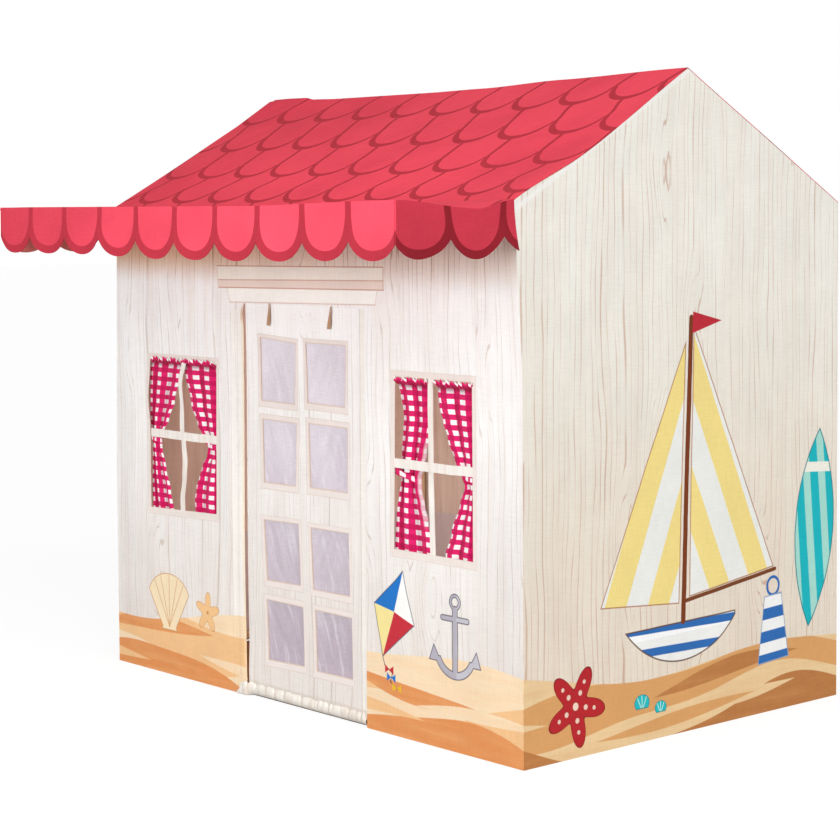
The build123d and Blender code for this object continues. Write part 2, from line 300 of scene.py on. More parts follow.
class Print(Nodes):
    """Draws a cloth's print, one shape over the other, on the point (across, up)."""

    def __init__(self, tree, point, colour):
        super().__init__(tree)
        self.point = point
        self.across, self.up, _ = self.split(point)
        self.colour = colour

    def disc(self, centre, radius):
        away = self.vector("DISTANCE", self.point, (*centre, 0), output=1)
        return self.math("SUBTRACT", away, radius)

    def oval(self, centre, wide, tall):
        offset = self.vector("SUBTRACT", self.point, (*centre, 0))
        round_offset = self.vector("MULTIPLY", offset, (1, wide / tall, 1))
        away = self.vector("LENGTH", round_offset, output=1)
        return self.math("SUBTRACT", away, wide / 2)

    def box(self, left, bottom, right, top):
        centre = ((left + right) / 2, (bottom + top) / 2, 0)
        offset = self.vector("ABSOLUTE", self.vector("SUBTRACT", self.point, centre))
        over = self.vector("SUBTRACT", offset, ((right - left) / 2, (top - bottom) / 2, 0))
        x, y, _ = self.split(over)
        return self.math("MAXIMUM", x, y)

    def half(self, start, end):
        """All that lies to the left of the line from start to end."""
        run = Vector(end) - Vector(start)
        away = Vector((run.y, -run.x)).normalized()
        along = self.vector("DOT_PRODUCT", self.point, (*away, 0), output=1)
        return self.math("SUBTRACT", along, away.dot(Vector(start)))

    def panel(self, *corners):
        """A shape with straight sides and corners named anticlockwise, none turning in."""
        ends = corners[1:] + corners[:1]
        return self.both(*[self.half(a, b) for a, b in zip(corners, ends)])

    def bar(self, start, end, width):
        run = Vector(end) - Vector(start)
        offset = self.vector("SUBTRACT", self.point, (*start, 0))
        along = self.vector("DOT_PRODUCT", offset, (*(run / run.length_squared), 0), output=1)
        along = self.add("ShaderNodeClamp", {0: along, 1: 0.0, 2: 1.0})
        nearest = self.add("ShaderNodeVectorMath", {0: (*run, 0), 3: along}, operation="SCALE")
        away = self.vector("DISTANCE", offset, nearest, output=1)
        return self.math("SUBTRACT", away, width / 2)

    def star(self, centre, radius, turn=0.0, arms=5):
        x, y, _ = self.split(self.vector("SUBTRACT", self.point, (*centre, 0)))
        angle = self.math("MULTIPLY_ADD", self.math("ARCTAN2", y, x), float(arms), turn)
        reach = self.math("MULTIPLY_ADD", self.math("COSINE", angle), radius * 0.27, radius * 0.67)
        away = self.vector("LENGTH", self.join(x, y), output=1)
        return self.math("SUBTRACT", away, reach)

    def stripes(self, toward, pitch, share, shift=0.0):
        """Parallel bands, a pitch apart in the given direction."""
        away = Vector(toward).normalized()
        along = self.vector("DOT_PRODUCT", self.point, (*away, 0), output=1)
        saw = self.math("PINGPONG", self.math("ADD", along, shift), pitch / 2)
        return self.math("SUBTRACT", saw, share * pitch / 2)

    def both(self, *shapes):
        joined = shapes[0]
        for shape in shapes[1:]:
            joined = self.math("MAXIMUM", joined, shape)
        return joined

    def either(self, *shapes):
        joined = shapes[0]
        for shape in shapes[1:]:
            joined = self.math("MINIMUM", joined, shape)
        return joined

    def rim(self, shape, width):
        return self.math("SUBTRACT", self.math("ABSOLUTE", shape), width / 2)

    def grow(self, shape, by):
        return self.math("SUBTRACT", shape, by)

    def mask(self, shape, soft=0.0008):
        return self.ramp(shape, soft, -soft)

    def paint(self, shape, colour, strength=1.0, soft=0.0008):
        mask = self.mask(shape, soft)
        if strength != 1.0:
            mask = self.math("MULTIPLY", mask, strength)
        self.colour = self.mix(mask, self.colour, ink(colour))


print("shapes:", [name for name in vars(Print) if not name.startswith("_")])

# %% [markdown]
# ## Canvas
#
# Every panel is the same plain-woven cotton canvas. Its threads differ a little in
# thickness, which shows as short fine streaks both ways, and ink takes unevenly on them.
# A wave texture could draw every thread, but at this distance that only flickers, so long
# thin noise stands for the thicker threads. The group gives the print's colour back with
# that unevenness in it, with a height for the bump and a roughness.

# %% Canvas group


def new_group(name, inputs, outputs):
    """Starts a shared effect and returns its nodes, its input sockets and its end."""
    tree = bpy.data.node_groups.new(name, "ShaderNodeTree")
    for label, kind in inputs.items():
        tree.interface.new_socket(label, in_out="INPUT", socket_type="NodeSocket" + kind)
    for label, kind in outputs.items():
        tree.interface.new_socket(label, in_out="OUTPUT", socket_type="NodeSocket" + kind)
    group_in = tree.nodes.new("NodeGroupInput").outputs
    group_out = tree.nodes.new("NodeGroupOutput").inputs
    return Nodes(tree), group_in, group_out


nodes, start, end = new_group(
    "canvas",
    {"Point": "Vector", "Colour": "Color"},
    {"Colour": "Color", "Roughness": "Float", "Height": "Float"},
)
weft = nodes.noise(start["Point"], (28, 420), 1.0)
warp = nodes.noise(start["Point"], (420, 28), 1.0)
threads = nodes.math("MULTIPLY", nodes.math("ADD", weft, warp), 0.5)
blotches = nodes.noise(start["Point"], (9, 9), 3.0)
tone = nodes.ramp(threads, 0.3, 0.7, 0.955, 1.03)
tone = nodes.math("MULTIPLY", tone, nodes.ramp(blotches, 0.3, 0.7, 0.975, 1.02))
toned = nodes.vector("SCALE", start["Colour"])
nodes.tree.links.new(tone, toned.node.inputs["Scale"])
nodes.tree.links.new(toned, end["Colour"])
nodes.tree.links.new(nodes.ramp(threads, 0.3, 0.7, 0.95, 0.8), end["Roughness"])
nodes.tree.links.new(threads, end["Height"])
print("canvas nodes:", len(nodes.tree.nodes))


def canvas_material(name, sheen=0.08):
    """Starts a cloth material: its nodes, and a call that ends it with the canvas on top."""
    material = bpy.data.materials.new(name)
    material.use_nodes = True
    tree = material.node_tree
    shader = tree.nodes["Principled BSDF"]
    shader.inputs["Specular IOR Level"].default_value = 0.15
    shader.inputs["Sheen Weight"].default_value = sheen
    shader.inputs["Sheen Roughness"].default_value = 0.5

    def finish(nodes, point, colour, deep=0.00025):
        canvas = nodes.group("canvas", {"Point": point, "Colour": colour})
        bump = nodes.add("ShaderNodeBump", {"Height": canvas["Height"], "Distance": deep, "Strength": 0.6})
        tree.links.new(canvas["Colour"], shader.inputs["Base Color"])
        tree.links.new(canvas["Roughness"], shader.inputs["Roughness"])
        tree.links.new(bump, shader.inputs["Normal"])
        return material

    return tree, finish


# %% [markdown]
# ## The wood-grain print
#
# The walls are printed like pale boards: thin upright lines, uneven in distance and
# strength, that run round long narrow knots. Drawn line by line it would take days. But
# such lines are contour lines. If a height rises steadily across the wall, its contours
# are straight upright lines, and wherever a long low hill is added they bend round it and
# close in loops. Noise makes the distances uneven and lets a line fade for a while.

# %% Wood-grain group
nodes, start, end = new_group("wood grain print", {"Point": "Vector"}, {"Lines": "Float", "Tint": "Float"})
across, up, _ = nodes.split(start["Point"])
wander = nodes.noise(start["Point"], (9, 2.2), 2.0)
drift = nodes.math("MULTIPLY_ADD", wander, 0.050, across)
cells = nodes.vector("MULTIPLY", nodes.join(drift, up), (8.0, 2.6, 1))
near = nodes.add("ShaderNodeTexVoronoi", {"Vector": cells, "Scale": 1.0, "Randomness": 0.9}, "Distance")
hill = nodes.ramp(near, 0.40, 0.0, 0.0, 3.2)
crowding = nodes.noise(nodes.join(drift, 0.0), (52, 1), 1.0)
height = nodes.math("MULTIPLY_ADD", drift, 68.0, nodes.math("MULTIPLY_ADD", crowding, 2.0, hill))
from_line = nodes.math("PINGPONG", height, 0.5)
boldness = nodes.noise(nodes.join(drift, up), (60, 6.5), 1.0)
width = nodes.ramp(boldness, 0.35, 0.7, 0.045, 0.080)
line = nodes.ramp(nodes.math("DIVIDE", from_line, width), 1.3, 0.3)
strength = nodes.ramp(boldness, 0.32, 0.6, 0.30, 1.0)
strength = nodes.math("MULTIPLY", strength, nodes.ramp(near, 0.05, 0.20, 0.10, 1.0))
nodes.tree.links.new(nodes.math("MULTIPLY", line, strength), end["Lines"])
boards = nodes.noise(nodes.join(drift, up), (30, 1.8), 2.0)
nodes.tree.links.new(nodes.ramp(boards, 0.38, 0.66), end["Tint"])
print("wood-grain nodes:", len(nodes.tree.nodes))

# %% [markdown]
# ## The dunes
#
# A band of sand runs round the foot of all four walls, in flat layers of pale, tan and
# brown sand with long pointed tongues of shade. Every edge is a sum of slow waves along
# the wall. A layer is all that lies under its wave. A tongue lies about a wave, and its
# thickness is a wave too, so that it ends in a point where the thickness falls to nothing.

# %% Dune group
sand_in = {"Run": "Float", "Height": "Float", "Pale": "Color", "Tan": "Color", "Brown": "Color"}
nodes, start, end = new_group("dunes", sand_in, {"Sand": "Float", "Colour": "Color"})
edge_blur = 0.0009


def wave(nodes, run, level, *swells):
    """A slow wave along the wall: a level and, for each swell, its size, pace and start."""
    for size, pace, at in swells:
        swell = nodes.math("SINE", nodes.math("MULTIPLY_ADD", run, pace, at))
        level = nodes.math("MULTIPLY_ADD", swell, size, level)
    return level


run, height = start["Run"], start["Height"]
crest = wave(nodes, run, 0.146, (0.022, 3.2, -1.35), (0.016, 8.3, -2.2))
colour = start["Pale"]
layers = (
    ("Tan", wave(nodes, run, 0.112, (0.026, 4.1, 0.4), (0.018, 9.5, 1.0))),
    ("Pale", wave(nodes, run, 0.060, (0.030, 5.7, 2.9), (0.010, 13.0, 0.3))),
    ("Brown", wave(nodes, run, 0.022, (0.040, 6.6, 0.6), (0.008, 15.0, 2.0))),
)
for which, top in layers:
    under = nodes.ramp(nodes.math("SUBTRACT", top, height), -edge_blur, edge_blur)
    colour = nodes.mix(under, colour, start[which])
tongues = (
    ("Brown", wave(nodes, run, 0.098, (0.022, 3.7, -0.4), (0.008, 10.4, 0.7)), (0.017, 7.3, 0.55)),
    ("Pale", wave(nodes, run, 0.060, (0.018, 5.2, 1.6)), (0.012, 8.9, 3.6)),
    ("Tan", wave(nodes, run, 0.036, (0.016, 4.9, 3.9)), (0.013, 6.9, 2.3)),
)
for which, middle, (size, pace, at) in tongues:
    thick = wave(nodes, run, 0.0, (size, pace, at))
    away = nodes.math("ABSOLUTE", nodes.math("SUBTRACT", height, middle))
    inside = nodes.ramp(nodes.math("SUBTRACT", thick, away), -edge_blur, edge_blur)
    colour = nodes.mix(inside, colour, start[which])
is_sand = nodes.ramp(nodes.math("SUBTRACT", crest, height), -edge_blur, edge_blur)
nodes.tree.links.new(is_sand, end["Sand"])
nodes.tree.links.new(colour, end["Colour"])
print("dune nodes:", len(nodes.tree.nodes))


def paint_sand(drawing, run, inks):
    """Paints the dunes over a wall's print, with the wall's own inks for the layers."""
    layers = dict(zip(("Pale", "Tan", "Brown"), [ink(code) for code in inks]))
    dunes = drawing.group("dunes", {"Run": run, "Height": drawing.up, **layers})
    brushed = drawing.noise(drawing.point, (5, 60), 2.0)
    sand = drawing.mix(drawing.ramp(brushed, 0.35, 0.75, 0.0, 0.25), dunes["Colour"], layers["Tan"])
    drawing.colour = drawing.mix(dunes["Sand"], drawing.colour, sand)


def board_print(tree, across, cream, blush, line, strength=0.7):
    """Starts a wall's print: boards in two pale inks with grain lines over them.

    Where cloth is drawn out of shape round an opening, the shapes follow its flat layout,
    but the boards stay upright.
    """
    nodes = Nodes(tree)
    x, y, z = nodes.split(nodes.object_point())
    along, start = {"X": (x, 0.0), "Y": (y, 3.7), "flat": (x, 0.0)}[across]
    grain = nodes.group("wood grain print", {"Point": nodes.join(nodes.math("ADD", along, start), z)})
    if across == "flat":
        along, z, _ = nodes.split(nodes.pattern_point())
    wobble = nodes.noise(nodes.join(along, z), (30, 30), 1.0)
    point = nodes.join(nodes.math("MULTIPLY_ADD", wobble, 0.0016, along), z)
    boards = nodes.mix(grain["Tint"], ink(cream), ink(blush))
    drawing = Print(tree, point, boards)
    drawing.colour = nodes.mix(nodes.math("MULTIPLY", grain["Lines"], strength), boards, ink(line))
    drawing.grain = grain["Lines"]
    drawing.run = along
    drawing.run_from_corner = nodes.math("ADD", along, side)
    return drawing


# %% [markdown]
# ## The front wall's print
#
# The front wall is brighter than the gables, whose greyer inks are partly a painted shade.
# Under the awning its boards turn warm and its lines red: a painted shade, with a painted
# red reflection of the cloth above. That could be left to the light, but red cloth above it
# tints the shade more than a few bounces of light do. On the boards come the sand and the
# seams of the hem beside the door.

# %% Boards and sand of the front wall
tree, finish_canvas = canvas_material("front_wall_print")
p = board_print(tree, "flat", "FBFAF8", "F6F2EE", "D3C7BB", 0.72)
# Painted shade: the boards darken toward the foot
p.colour = p.mix(p.ramp(p.up, 0.70, 0.10), p.colour, ink("F1ECE8"), "MULTIPLY")

# Painted shade under the awning, with a painted red reflection: the boards turn warmer and their lines
# redder there
high = p.ramp(p.up, 0.850, 0.925)
painted_awning_shade = p.math("MULTIPLY", high, p.ramp(p.across, -0.6, 0.5, 0.78, 0.30))
p.colour = p.mix(painted_awning_shade, p.colour, ink("E7B27E"))
p.colour = p.mix(p.math("MULTIPLY", p.math("MULTIPLY", p.grain, high), 0.7), p.colour, ink("9A6A50"))

# Painted shade: the boards are a little greyer toward the right-hand corner
p.colour = p.mix(p.ramp(p.across, 0.54, 0.62), p.colour, ink("F8F7F7"), "MULTIPLY")

# The hem beside the door's slit has no grain and is sewn down at its edge
p.paint(p.box(-0.2215, 0.0, -0.178, 0.805), "FAF6EE", 0.75, 0.002)

paint_sand(p, p.run_from_corner, ("F8DFBC", "F3C48E", "E39558"))
for seam, strength in ((-0.2225, 0.35), (-0.1985, 0.45)):
    p.paint(p.bar((seam, 0.0), (seam, 0.80), 0.0014), "C9B29A", strength)
# Painted shade: a tan strip along the slit's edge and a tan oval at its top, where the rolled hem turns
# into the slit
p.paint(p.box(-0.1830, 0.0, -0.170, 0.790), "F0DAB2", 0.5, 0.0025)
p.paint(p.oval((-0.1815, 0.798), 0.0075, 0.030), "DDB98F", 0.8, 0.0015)

print("front wall boards:", len(tree.nodes), "nodes")

# %% [markdown]
# The door has a printed lintel: a board, a blush band under it and a narrower board. The
# windows have pale printed frames. They could be boxes, but the cloth was printed a little
# out of true, so the lintel's corners are named one by one.

# %% Lintel and window frames
lintel = p.panel((-0.262, 0.849), (0.271, 0.857), (0.270, 0.901), (-0.267, 0.895))
p.paint(lintel, "F9F2E6", 0.9)
p.paint(p.panel((-0.224, 0.820), (0.245, 0.828), (0.251, 0.857), (-0.232, 0.849)), "FCFBF4", 0.95)
p.paint(p.panel((-0.261, 0.850), (0.271, 0.857), (0.270, 0.875), (-0.263, 0.866)), "EFDDD2")
for a, b, strong in (
    ((-0.267, 0.895), (0.270, 0.901), 0.9),
    ((-0.263, 0.866), (0.270, 0.875), 0.75),
    ((-0.261, 0.850), (0.271, 0.857), 0.9),
    ((0.2705, 0.857), (0.270, 0.901), 0.7),
    ((-0.224, 0.820), (0.245, 0.828), 0.55),
):
    p.paint(p.bar(a, b, 0.0022), "C58D72", strong)
for a, b in (
    ((-0.262, 0.850), (-0.267, 0.895)),
    ((-0.232, 0.849), (-0.224, 0.820)),
    ((0.251, 0.857), (0.245, 0.828)),
):
    p.paint(p.bar(a, b, 0.0018), "D3B9A6", 0.6)

for left, bottom, right, top in windows.values():
    frame_edge = p.box(left - 0.0105, bottom - 0.0130, right + 0.0105, top + 0.0130)
    p.paint(frame_edge, "EDE3DB")
    p.paint(p.rim(frame_edge, 0.0012), "DCCAC0", 0.5)

print("with its lintel and frames:", len(tree.nodes), "nodes")

# %% [markdown]
# Small beach things lie on the sand. On the left are a scallop shell and a starfish. The
# shell is an oval cut by the two sides of its fan, with a foot at its hinge and ribs that
# fan out from there. The starfish is one call: a circle whose radius waves five times.

# %% Shell and starfish
hinge, fan = (-0.455, 0.105), (-0.455, 0.160)
fan_sides = p.panel((-0.475, 0.098), (-0.435, 0.098), (-0.352, 0.235), (-0.558, 0.235))
shell_foot = p.panel((-0.482, 0.098), (-0.428, 0.098), (-0.436, 0.116), (-0.474, 0.116))
shell = p.either(p.both(p.oval(fan, 0.150, 0.122), fan_sides), shell_foot)
p.paint(shell, "F8E3BF")
for tip in (-0.522, -0.490, -0.455, -0.420, -0.388):
    p.paint(p.both(p.bar(hinge, (tip, 0.232), 0.0020), p.grow(shell, -0.003)), "D59E63", 0.85)
p.paint(p.rim(shell, 0.0022), "CF9458", 0.9)
star_middle = (-0.315, 0.155)
small_star = p.star(star_middle, 0.046, -1.25)
p.paint(small_star, "F3C58D")
p.paint(p.rim(small_star, 0.0020), "C9854A", 0.9)
p.paint(p.disc(star_middle, 0.004), "C9854A", 0.8)
print("with shell and starfish:", len(tree.nodes), "nodes")

# %% [markdown]
# To the right of the door flies a kite in four colours. Its four fields meet where its
# spars cross, so each is a triangle from there to two corners, and all share one outline.
# The tail is a bent line with three bows.

# %% Kite
nose, tail = (0.322, 0.318), (0.262, 0.150)
left_corner, right_corner, crossing = (0.236, 0.250), (0.356, 0.222), (0.298, 0.241)
for a, b, colour in (
    (nose, left_corner, "1F76C8"),
    (left_corner, tail, "F6E59B"),
    (tail, right_corner, "C8303C"),
    (right_corner, nose, "FAFAF7"),
):
    p.paint(p.panel(crossing, a, b), colour)
p.paint(p.rim(p.panel(nose, left_corner, tail, right_corner), 0.0022), "2F3B57", 0.8)
bends = (tail, (0.268, 0.134), (0.292, 0.121), (0.286, 0.104), (0.306, 0.092))
for a, b in zip(bends, bends[1:]):
    p.paint(p.bar(a, b, 0.0024), "2F3B57", 0.9)
bows = (((0.282, 0.127), "C8303C"), ((0.288, 0.112), "1F76C8"), ((0.304, 0.094), "E9B92F"))
for (x, y), colour in bows:
    p.paint(p.panel((x - 0.013, y - 0.008), (x, y), (x - 0.013, y + 0.009)), colour)
    p.paint(p.panel((x, y), (x + 0.013, y - 0.009), (x + 0.013, y + 0.008)), colour)

print("with the kite:", len(tree.nodes), "nodes")

# %% [markdown]
# Beside the kite is an anchor. Its arms are the lower part of a ring, which could be drawn
# as bars, but a ring's rim keeps its width all round. The right half of the anchor is a
# lighter grey, as if it were round iron in the light.

# %% Anchor
shank = p.bar((0.470, 0.148), (0.470, 0.268), 0.013)
stock = p.bar((0.436, 0.250), (0.504, 0.250), 0.010)
eye = p.rim(p.disc((0.470, 0.282), 0.012), 0.006)
arms = p.both(p.rim(p.disc((0.470, 0.196), 0.052), 0.014), p.half((0.60, 0.176), (0.30, 0.176)))
flukes = p.either(
    p.panel((0.399, 0.166), (0.431, 0.166), (0.411, 0.196)),
    p.panel((0.509, 0.166), (0.541, 0.166), (0.529, 0.196)),
)
anchor = p.either(shank, stock, eye, arms, flukes)
p.paint(anchor, "B6B2BD")
p.paint(p.both(anchor, p.half((0.474, 0.30), (0.474, 0.10))), "C9C6CF")
p.paint(p.rim(anchor, 0.0022), "5B5764", 0.9)

front_canvas = finish_canvas(p, p.point, p.colour)
print("front wall print nodes:", len(tree.nodes))

# %% [markdown]
# ## The gables' print
#
# A gable is broad and tall, so the right-hand one has the large picture: a dinghy drawn up
# on the sand, a surfboard, a buoy, a starfish and two shells. Both gables start the same
# way, with greyer boards than the front wall, browner sand, boards that darken toward the
# foot, and a paler band where the hem joins the gable to the front slope of the roof. The
# greyer and browner inks are partly the print and partly a painted shade, and the darker
# foot is a painted shade.

# %% Boards and sand of a gable


def gable_print(name, run_sign):
    """The start of a gable's print: boards, sand, and the pale hem under the roof."""
    tree, finish = canvas_material(name)
    # Greyer boards and browner sand than the front wall's: partly the print, partly a painted shade
    drawing = board_print(tree, "Y", "F4F1E7", "F1EBE0", "D0AC9B", 0.75)
    # Painted shade: the boards turn darker and warmer toward the foot
    low = drawing.ramp(drawing.up, 1.0, 0.1, 0.0, 0.55)
    drawing.colour = drawing.mix(low, drawing.colour, ink("F0DDCB"), "MULTIPLY")
    run = drawing.math("ADD", drawing.math("MULTIPLY", drawing.run, run_sign), 2 * side - front * run_sign)
    paint_sand(drawing, run, ("EFCF9F", "DDA468", "BC7C46"))
    roof_edge = drawing.half((front, eaves), (ridge, peak))
    near_roof = drawing.ramp(drawing.math("ABSOLUTE", roof_edge), 0.008, 0.002, 0.0, 0.8)
    drawing.colour = drawing.mix(near_roof, drawing.colour, ink("F7F5EF"))
    return tree, finish, drawing


tree, finish_canvas, p = gable_print("gable_right_print", 1)

print("right gable boards:", len(tree.nodes), "nodes")

# %% [markdown]
# The dinghy's hull is the foot of a large disc, cut level at the gunwale and upright at
# the stern. The sails are triangles, with stripes that run down from the masthead. Stripes
# are endless bands, so each set is kept to its sail or hull by the overlap of both.

# %% Dinghy
hull = p.both(
    p.disc((0.125, 0.345), 0.205),
    p.half((0.50, 0.222), (-0.20, 0.208)),
    p.half((0.290, 0.10), (0.272, 0.30)),
)
p.paint(hull, "F4F4F1")
p.paint(p.both(hull, p.half((-0.2, 0.188), (0.5, 0.200))), "FFFFFF")
p.paint(p.both(hull, p.stripes((0.02, 1), 0.044, 0.36, 0.008)), "2F6DB5")
p.paint(p.rim(hull, 0.003), "5C3A22", 0.9)
mast = p.bar((0.128, 0.216), (0.152, 0.800), 0.0125)
main_sail = p.panel((0.146, 0.262), (0.398, 0.292), (0.160, 0.782))
fore_sail = p.panel((-0.098, 0.268), (0.116, 0.252), (0.136, 0.752))
for sail, toward, shift in ((main_sail, (1, 0.46), 0.010), (fore_sail, (1, -0.42), 0.045)):
    p.paint(sail, "F1F1EC")
    p.paint(p.both(sail, p.stripes(toward, 0.112, 0.5, shift)), "F7E08E")
    p.paint(p.rim(sail, 0.0024), "A9653A", 0.85)
p.paint(p.bar((0.130, 0.254), (0.404, 0.286), 0.008), "7A4223")
p.paint(mast, "7A3A1B")
pennant = p.panel((0.155, 0.770), (0.240, 0.792), (0.157, 0.812))
p.paint(pennant, "C02B38")

print("with the dinghy:", len(tree.nodes), "nodes")

# %% [markdown]
# A surfboard stands in the sand behind the dinghy: where two large discs overlap, they
# leave just such a pointed shape. In front of it is a striped buoy with a ring.

# %% Surfboard and buoy
board = p.both(p.disc((0.215, 0.385), 0.372), p.disc((0.838, 0.330), 0.372))
p.paint(board, "17B8C2")
p.paint(p.both(board, p.stripes((1, 0.088), 0.046, 0.46, 0.010)), "A9E0D3")
p.paint(p.both(board, p.rim(p.half((0.20, 0.50), (0.90, 0.46)), 0.020)), "F6F3E6")
p.paint(p.rim(board, 0.003), "0F7F88", 0.9)

buoy = p.panel((0.352, 0.098), (0.446, 0.104), (0.424, 0.236), (0.372, 0.232))
p.paint(p.rim(p.disc((0.398, 0.252), 0.018), 0.006), "2F6DB5")
p.paint(buoy, "F7F7F5")
p.paint(p.both(buoy, p.stripes((-0.05, 1), 0.046, 0.5, 0.006)), "2F6DB5")
p.paint(p.rim(buoy, 0.002), "8FA3BE")

print("with surfboard and buoy:", len(tree.nodes), "nodes")

# %% [markdown]
# In the foreground lie a red starfish and two small shells. The starfish has rows of pale
# dots, which grow smaller toward the tips of its arms, so their places come from its own
# turn and middle.

# %% Starfish and small shells


def red_star(drawing, centre, radius, turn):
    """A starfish with its outline."""
    star = drawing.star(centre, radius, turn)
    drawing.paint(star, "B9252C")
    drawing.paint(drawing.rim(star, 0.003), "8B1A20")


star_x, star_y, star_turn = -0.165, 0.095, 0.9
red_star(p, (star_x, star_y), 0.082, star_turn)
for reach, dot in ((0.0, 0.007), (0.027, 0.005), (0.049, 0.004)):
    for arm in range(5):
        angle = (2 * pi * arm - star_turn) / 5
        spot = (star_x + reach * cos(angle), star_y + reach * sin(angle))
        p.paint(p.disc(spot, dot), "F3D9C6", 0.9)
for (x, y), size in (((0.012, 0.074), 0.040), ((0.064, 0.058), 0.032)):
    above_foot = p.half((x - 1, y - size * 0.28), (x + 1, y - size * 0.22))
    cockle = p.both(p.oval((x, y), size, size * 0.8), above_foot)
    p.paint(cockle, "25BFC4")
    for lean_out in (-0.36, 0.0, 0.36):
        foot, tip = (x + size * 0.1 * lean_out, y - size * 0.3), (x + size * lean_out, y + size * 0.4)
        p.paint(p.both(p.bar(foot, tip, 0.0022), cockle), "B7EBE4")
    p.paint(p.rim(cockle, 0.0018), "12878D")

gable_canvas = {"right": finish_canvas(p, p.point, p.colour)}
print("right gable print nodes:", len(tree.nodes))

# %% [markdown]
# The left-hand gable doesn't show in the photograph, so it is plain: the same boards and
# sand, with two starfish.

# %% Left gable print
tree, finish_canvas, p = gable_print("gable_left_print", -1)
for centre, size, turn in (((0.36, 0.085), 0.062, 0.4), ((-0.02, 0.070), 0.040, 1.7)):
    red_star(p, centre, size, turn)
gable_canvas["left"] = finish_canvas(p, p.point, p.colour)
print("left gable print nodes:", len(tree.nodes))

# %% [markdown]
# The back wall has boards and sand alone, and the dunes run on round the corners because
# every wall counts its own distance along them. The straps and tapes are unprinted canvas,
# and so is every panel's inside, where the cloth is darker and a little pink. Both kinds
# have faint upright streaks between two inks, so one function makes them.

# %% Back wall print, plain canvas and lining
tree, finish_canvas = canvas_material("back_wall_print")
p = board_print(tree, "X", "F3F1E6", "EFE6DA", "D4B6A4", 0.75)
paint_sand(p, p.math("SUBTRACT", 3 * side + back - front, p.run), ("F1D2A4", "DFA76B", "BF7E48"))
back_canvas = finish_canvas(p, p.point, p.colour)


def streaked_canvas(name, stretch, low, light, dark, foot=None):
    """Unprinted canvas with upright streaks in two inks, and a third near the floor if given."""
    tree, finish = canvas_material(name)
    nodes = Nodes(tree)
    x, y, z = nodes.split(nodes.object_point())
    point = nodes.join(nodes.math("ADD", x, y), z)
    streaks = nodes.noise(point, stretch, 2.0)
    colour = nodes.mix(nodes.ramp(streaks, low, 0.7), ink(light), ink(dark))
    if foot:
        colour = nodes.mix(nodes.ramp(z, 0.262, 0.250, 0.0, 0.7), colour, ink(foot))
    return finish(nodes, point, colour)


plain_canvas = streaked_canvas("plain_canvas", (60, 4), 0.4, "F6F1E9", "EDE2D8")
lining_canvas = streaked_canvas("lining_canvas", (50, 3), 0.35, "E6D6CA", "D6C3B6", "CDC6CC")
print("back wall print nodes:", len(tree.nodes))

# %% [markdown]
# ## The door flap's print
#
# The flap has the same boards, and a blush-coloured band round each of its eight panes.
# Its right-hand hem is plain, with a seam beside it. Its boards darken toward the foot, a
# painted shade, and turn paler toward the top under the awning, a painted light, and a
# painted shadow darkens its foot where it goes into the sleeve.

# %% Door flap print
pane_size = (0.122, 0.132)
pane_columns = (-0.0685, 0.0885)
pane_rows = (0.142, 0.308, 0.509, 0.675)
panes = [
    (x - pane_size[0] / 2, z - pane_size[1] / 2, x + pane_size[0] / 2, z + pane_size[1] / 2)
    for z in pane_rows
    for x in pane_columns
]

tree, finish_canvas = canvas_material("door_flap_print")
p = board_print(tree, "flat", "FBFAF7", "F6F2EE", "D3C7BB", 0.72)
# Painted shade: the boards darken toward the foot
p.colour = p.mix(p.ramp(p.up, 0.80, 0.10), p.colour, ink("EFEAE6"), "MULTIPLY")
# Painted light: the boards turn paler toward the top, against the awning's shade
p.colour = p.mix(p.ramp(p.up, 0.62, 0.78, 0.0, 0.50), p.colour, ink("FFFFFF"))
for left, bottom, right, top in panes:
    pane = p.box(left - 0.0085, bottom - 0.0115, right + 0.0085, top + 0.0100)
    p.paint(pane, "EEE4DE")
    p.paint(p.rim(pane, 0.0014), "DCCBBF", 0.6)
    p.paint(p.rim(p.box(left, bottom, right, top), 0.0034), "DCC3B1", 0.85)
p.paint(p.box(0.1935, 0.0, 0.240, 0.90), "F6F2EA")
p.paint(p.bar((0.1935, 0.0), (0.1935, 0.90), 0.0018), "B9AFA6", 0.6)
# Painted shadow: a darker band along the foot, where it goes into the sleeve
p.paint(p.box(-0.20, 0.0, 0.24, 0.0335), "CFC2B4", 0.5, 0.003)
flap_canvas = finish_canvas(p, p.point, p.colour)
print("door flap print nodes:", len(tree.nodes))

# %% [markdown]
# ## The roof's print
#
# The roof is printed as rows of round-ended tiles. Each row is shifted by half a tile, so
# a tile's foot covers the joint of the two below it. In each row's own strip, the foot of
# the row above is half an oval, and under its lowest point starts the joint. The outline is
# the part between an oval and a slightly smaller one that sits up and to the right, which
# makes it thicker at the lower left, like a drawn shadow.

# %% Roof print
tile_width, tile_foot = 0.130, 0.058
upper_height, lower_height, drawn_height = 0.131, 0.109, 0.118
tree, finish_canvas = canvas_material("roof_print", 0.0)
nodes = Nodes(tree)
x, y, z = nodes.split(nodes.object_point())
flat_down = nodes.math("MULTIPLY_ADD", z, -1 / sin(slope), peak / sin(slope))
down = nodes.math("ADD", flat_down, nodes.ramp(x, 0.20, 0.66, 0.0, 0.030))
wobble = nodes.noise(nodes.join(x, down), (14, 14), 1.0)
along = nodes.math("MULTIPLY_ADD", wobble, 0.008, x)
upper_rows = nodes.math("MULTIPLY_ADD", down, 1 / upper_height, 1 - (0.1385 - tile_foot) / upper_height)
lower_rows = nodes.math("MULTIPLY_ADD", down, 1 / lower_height, 3 - (0.4020 - tile_foot) / lower_height)
rows = nodes.math("MAXIMUM", upper_rows, lower_rows)
row = nodes.math("FLOOR", rows)


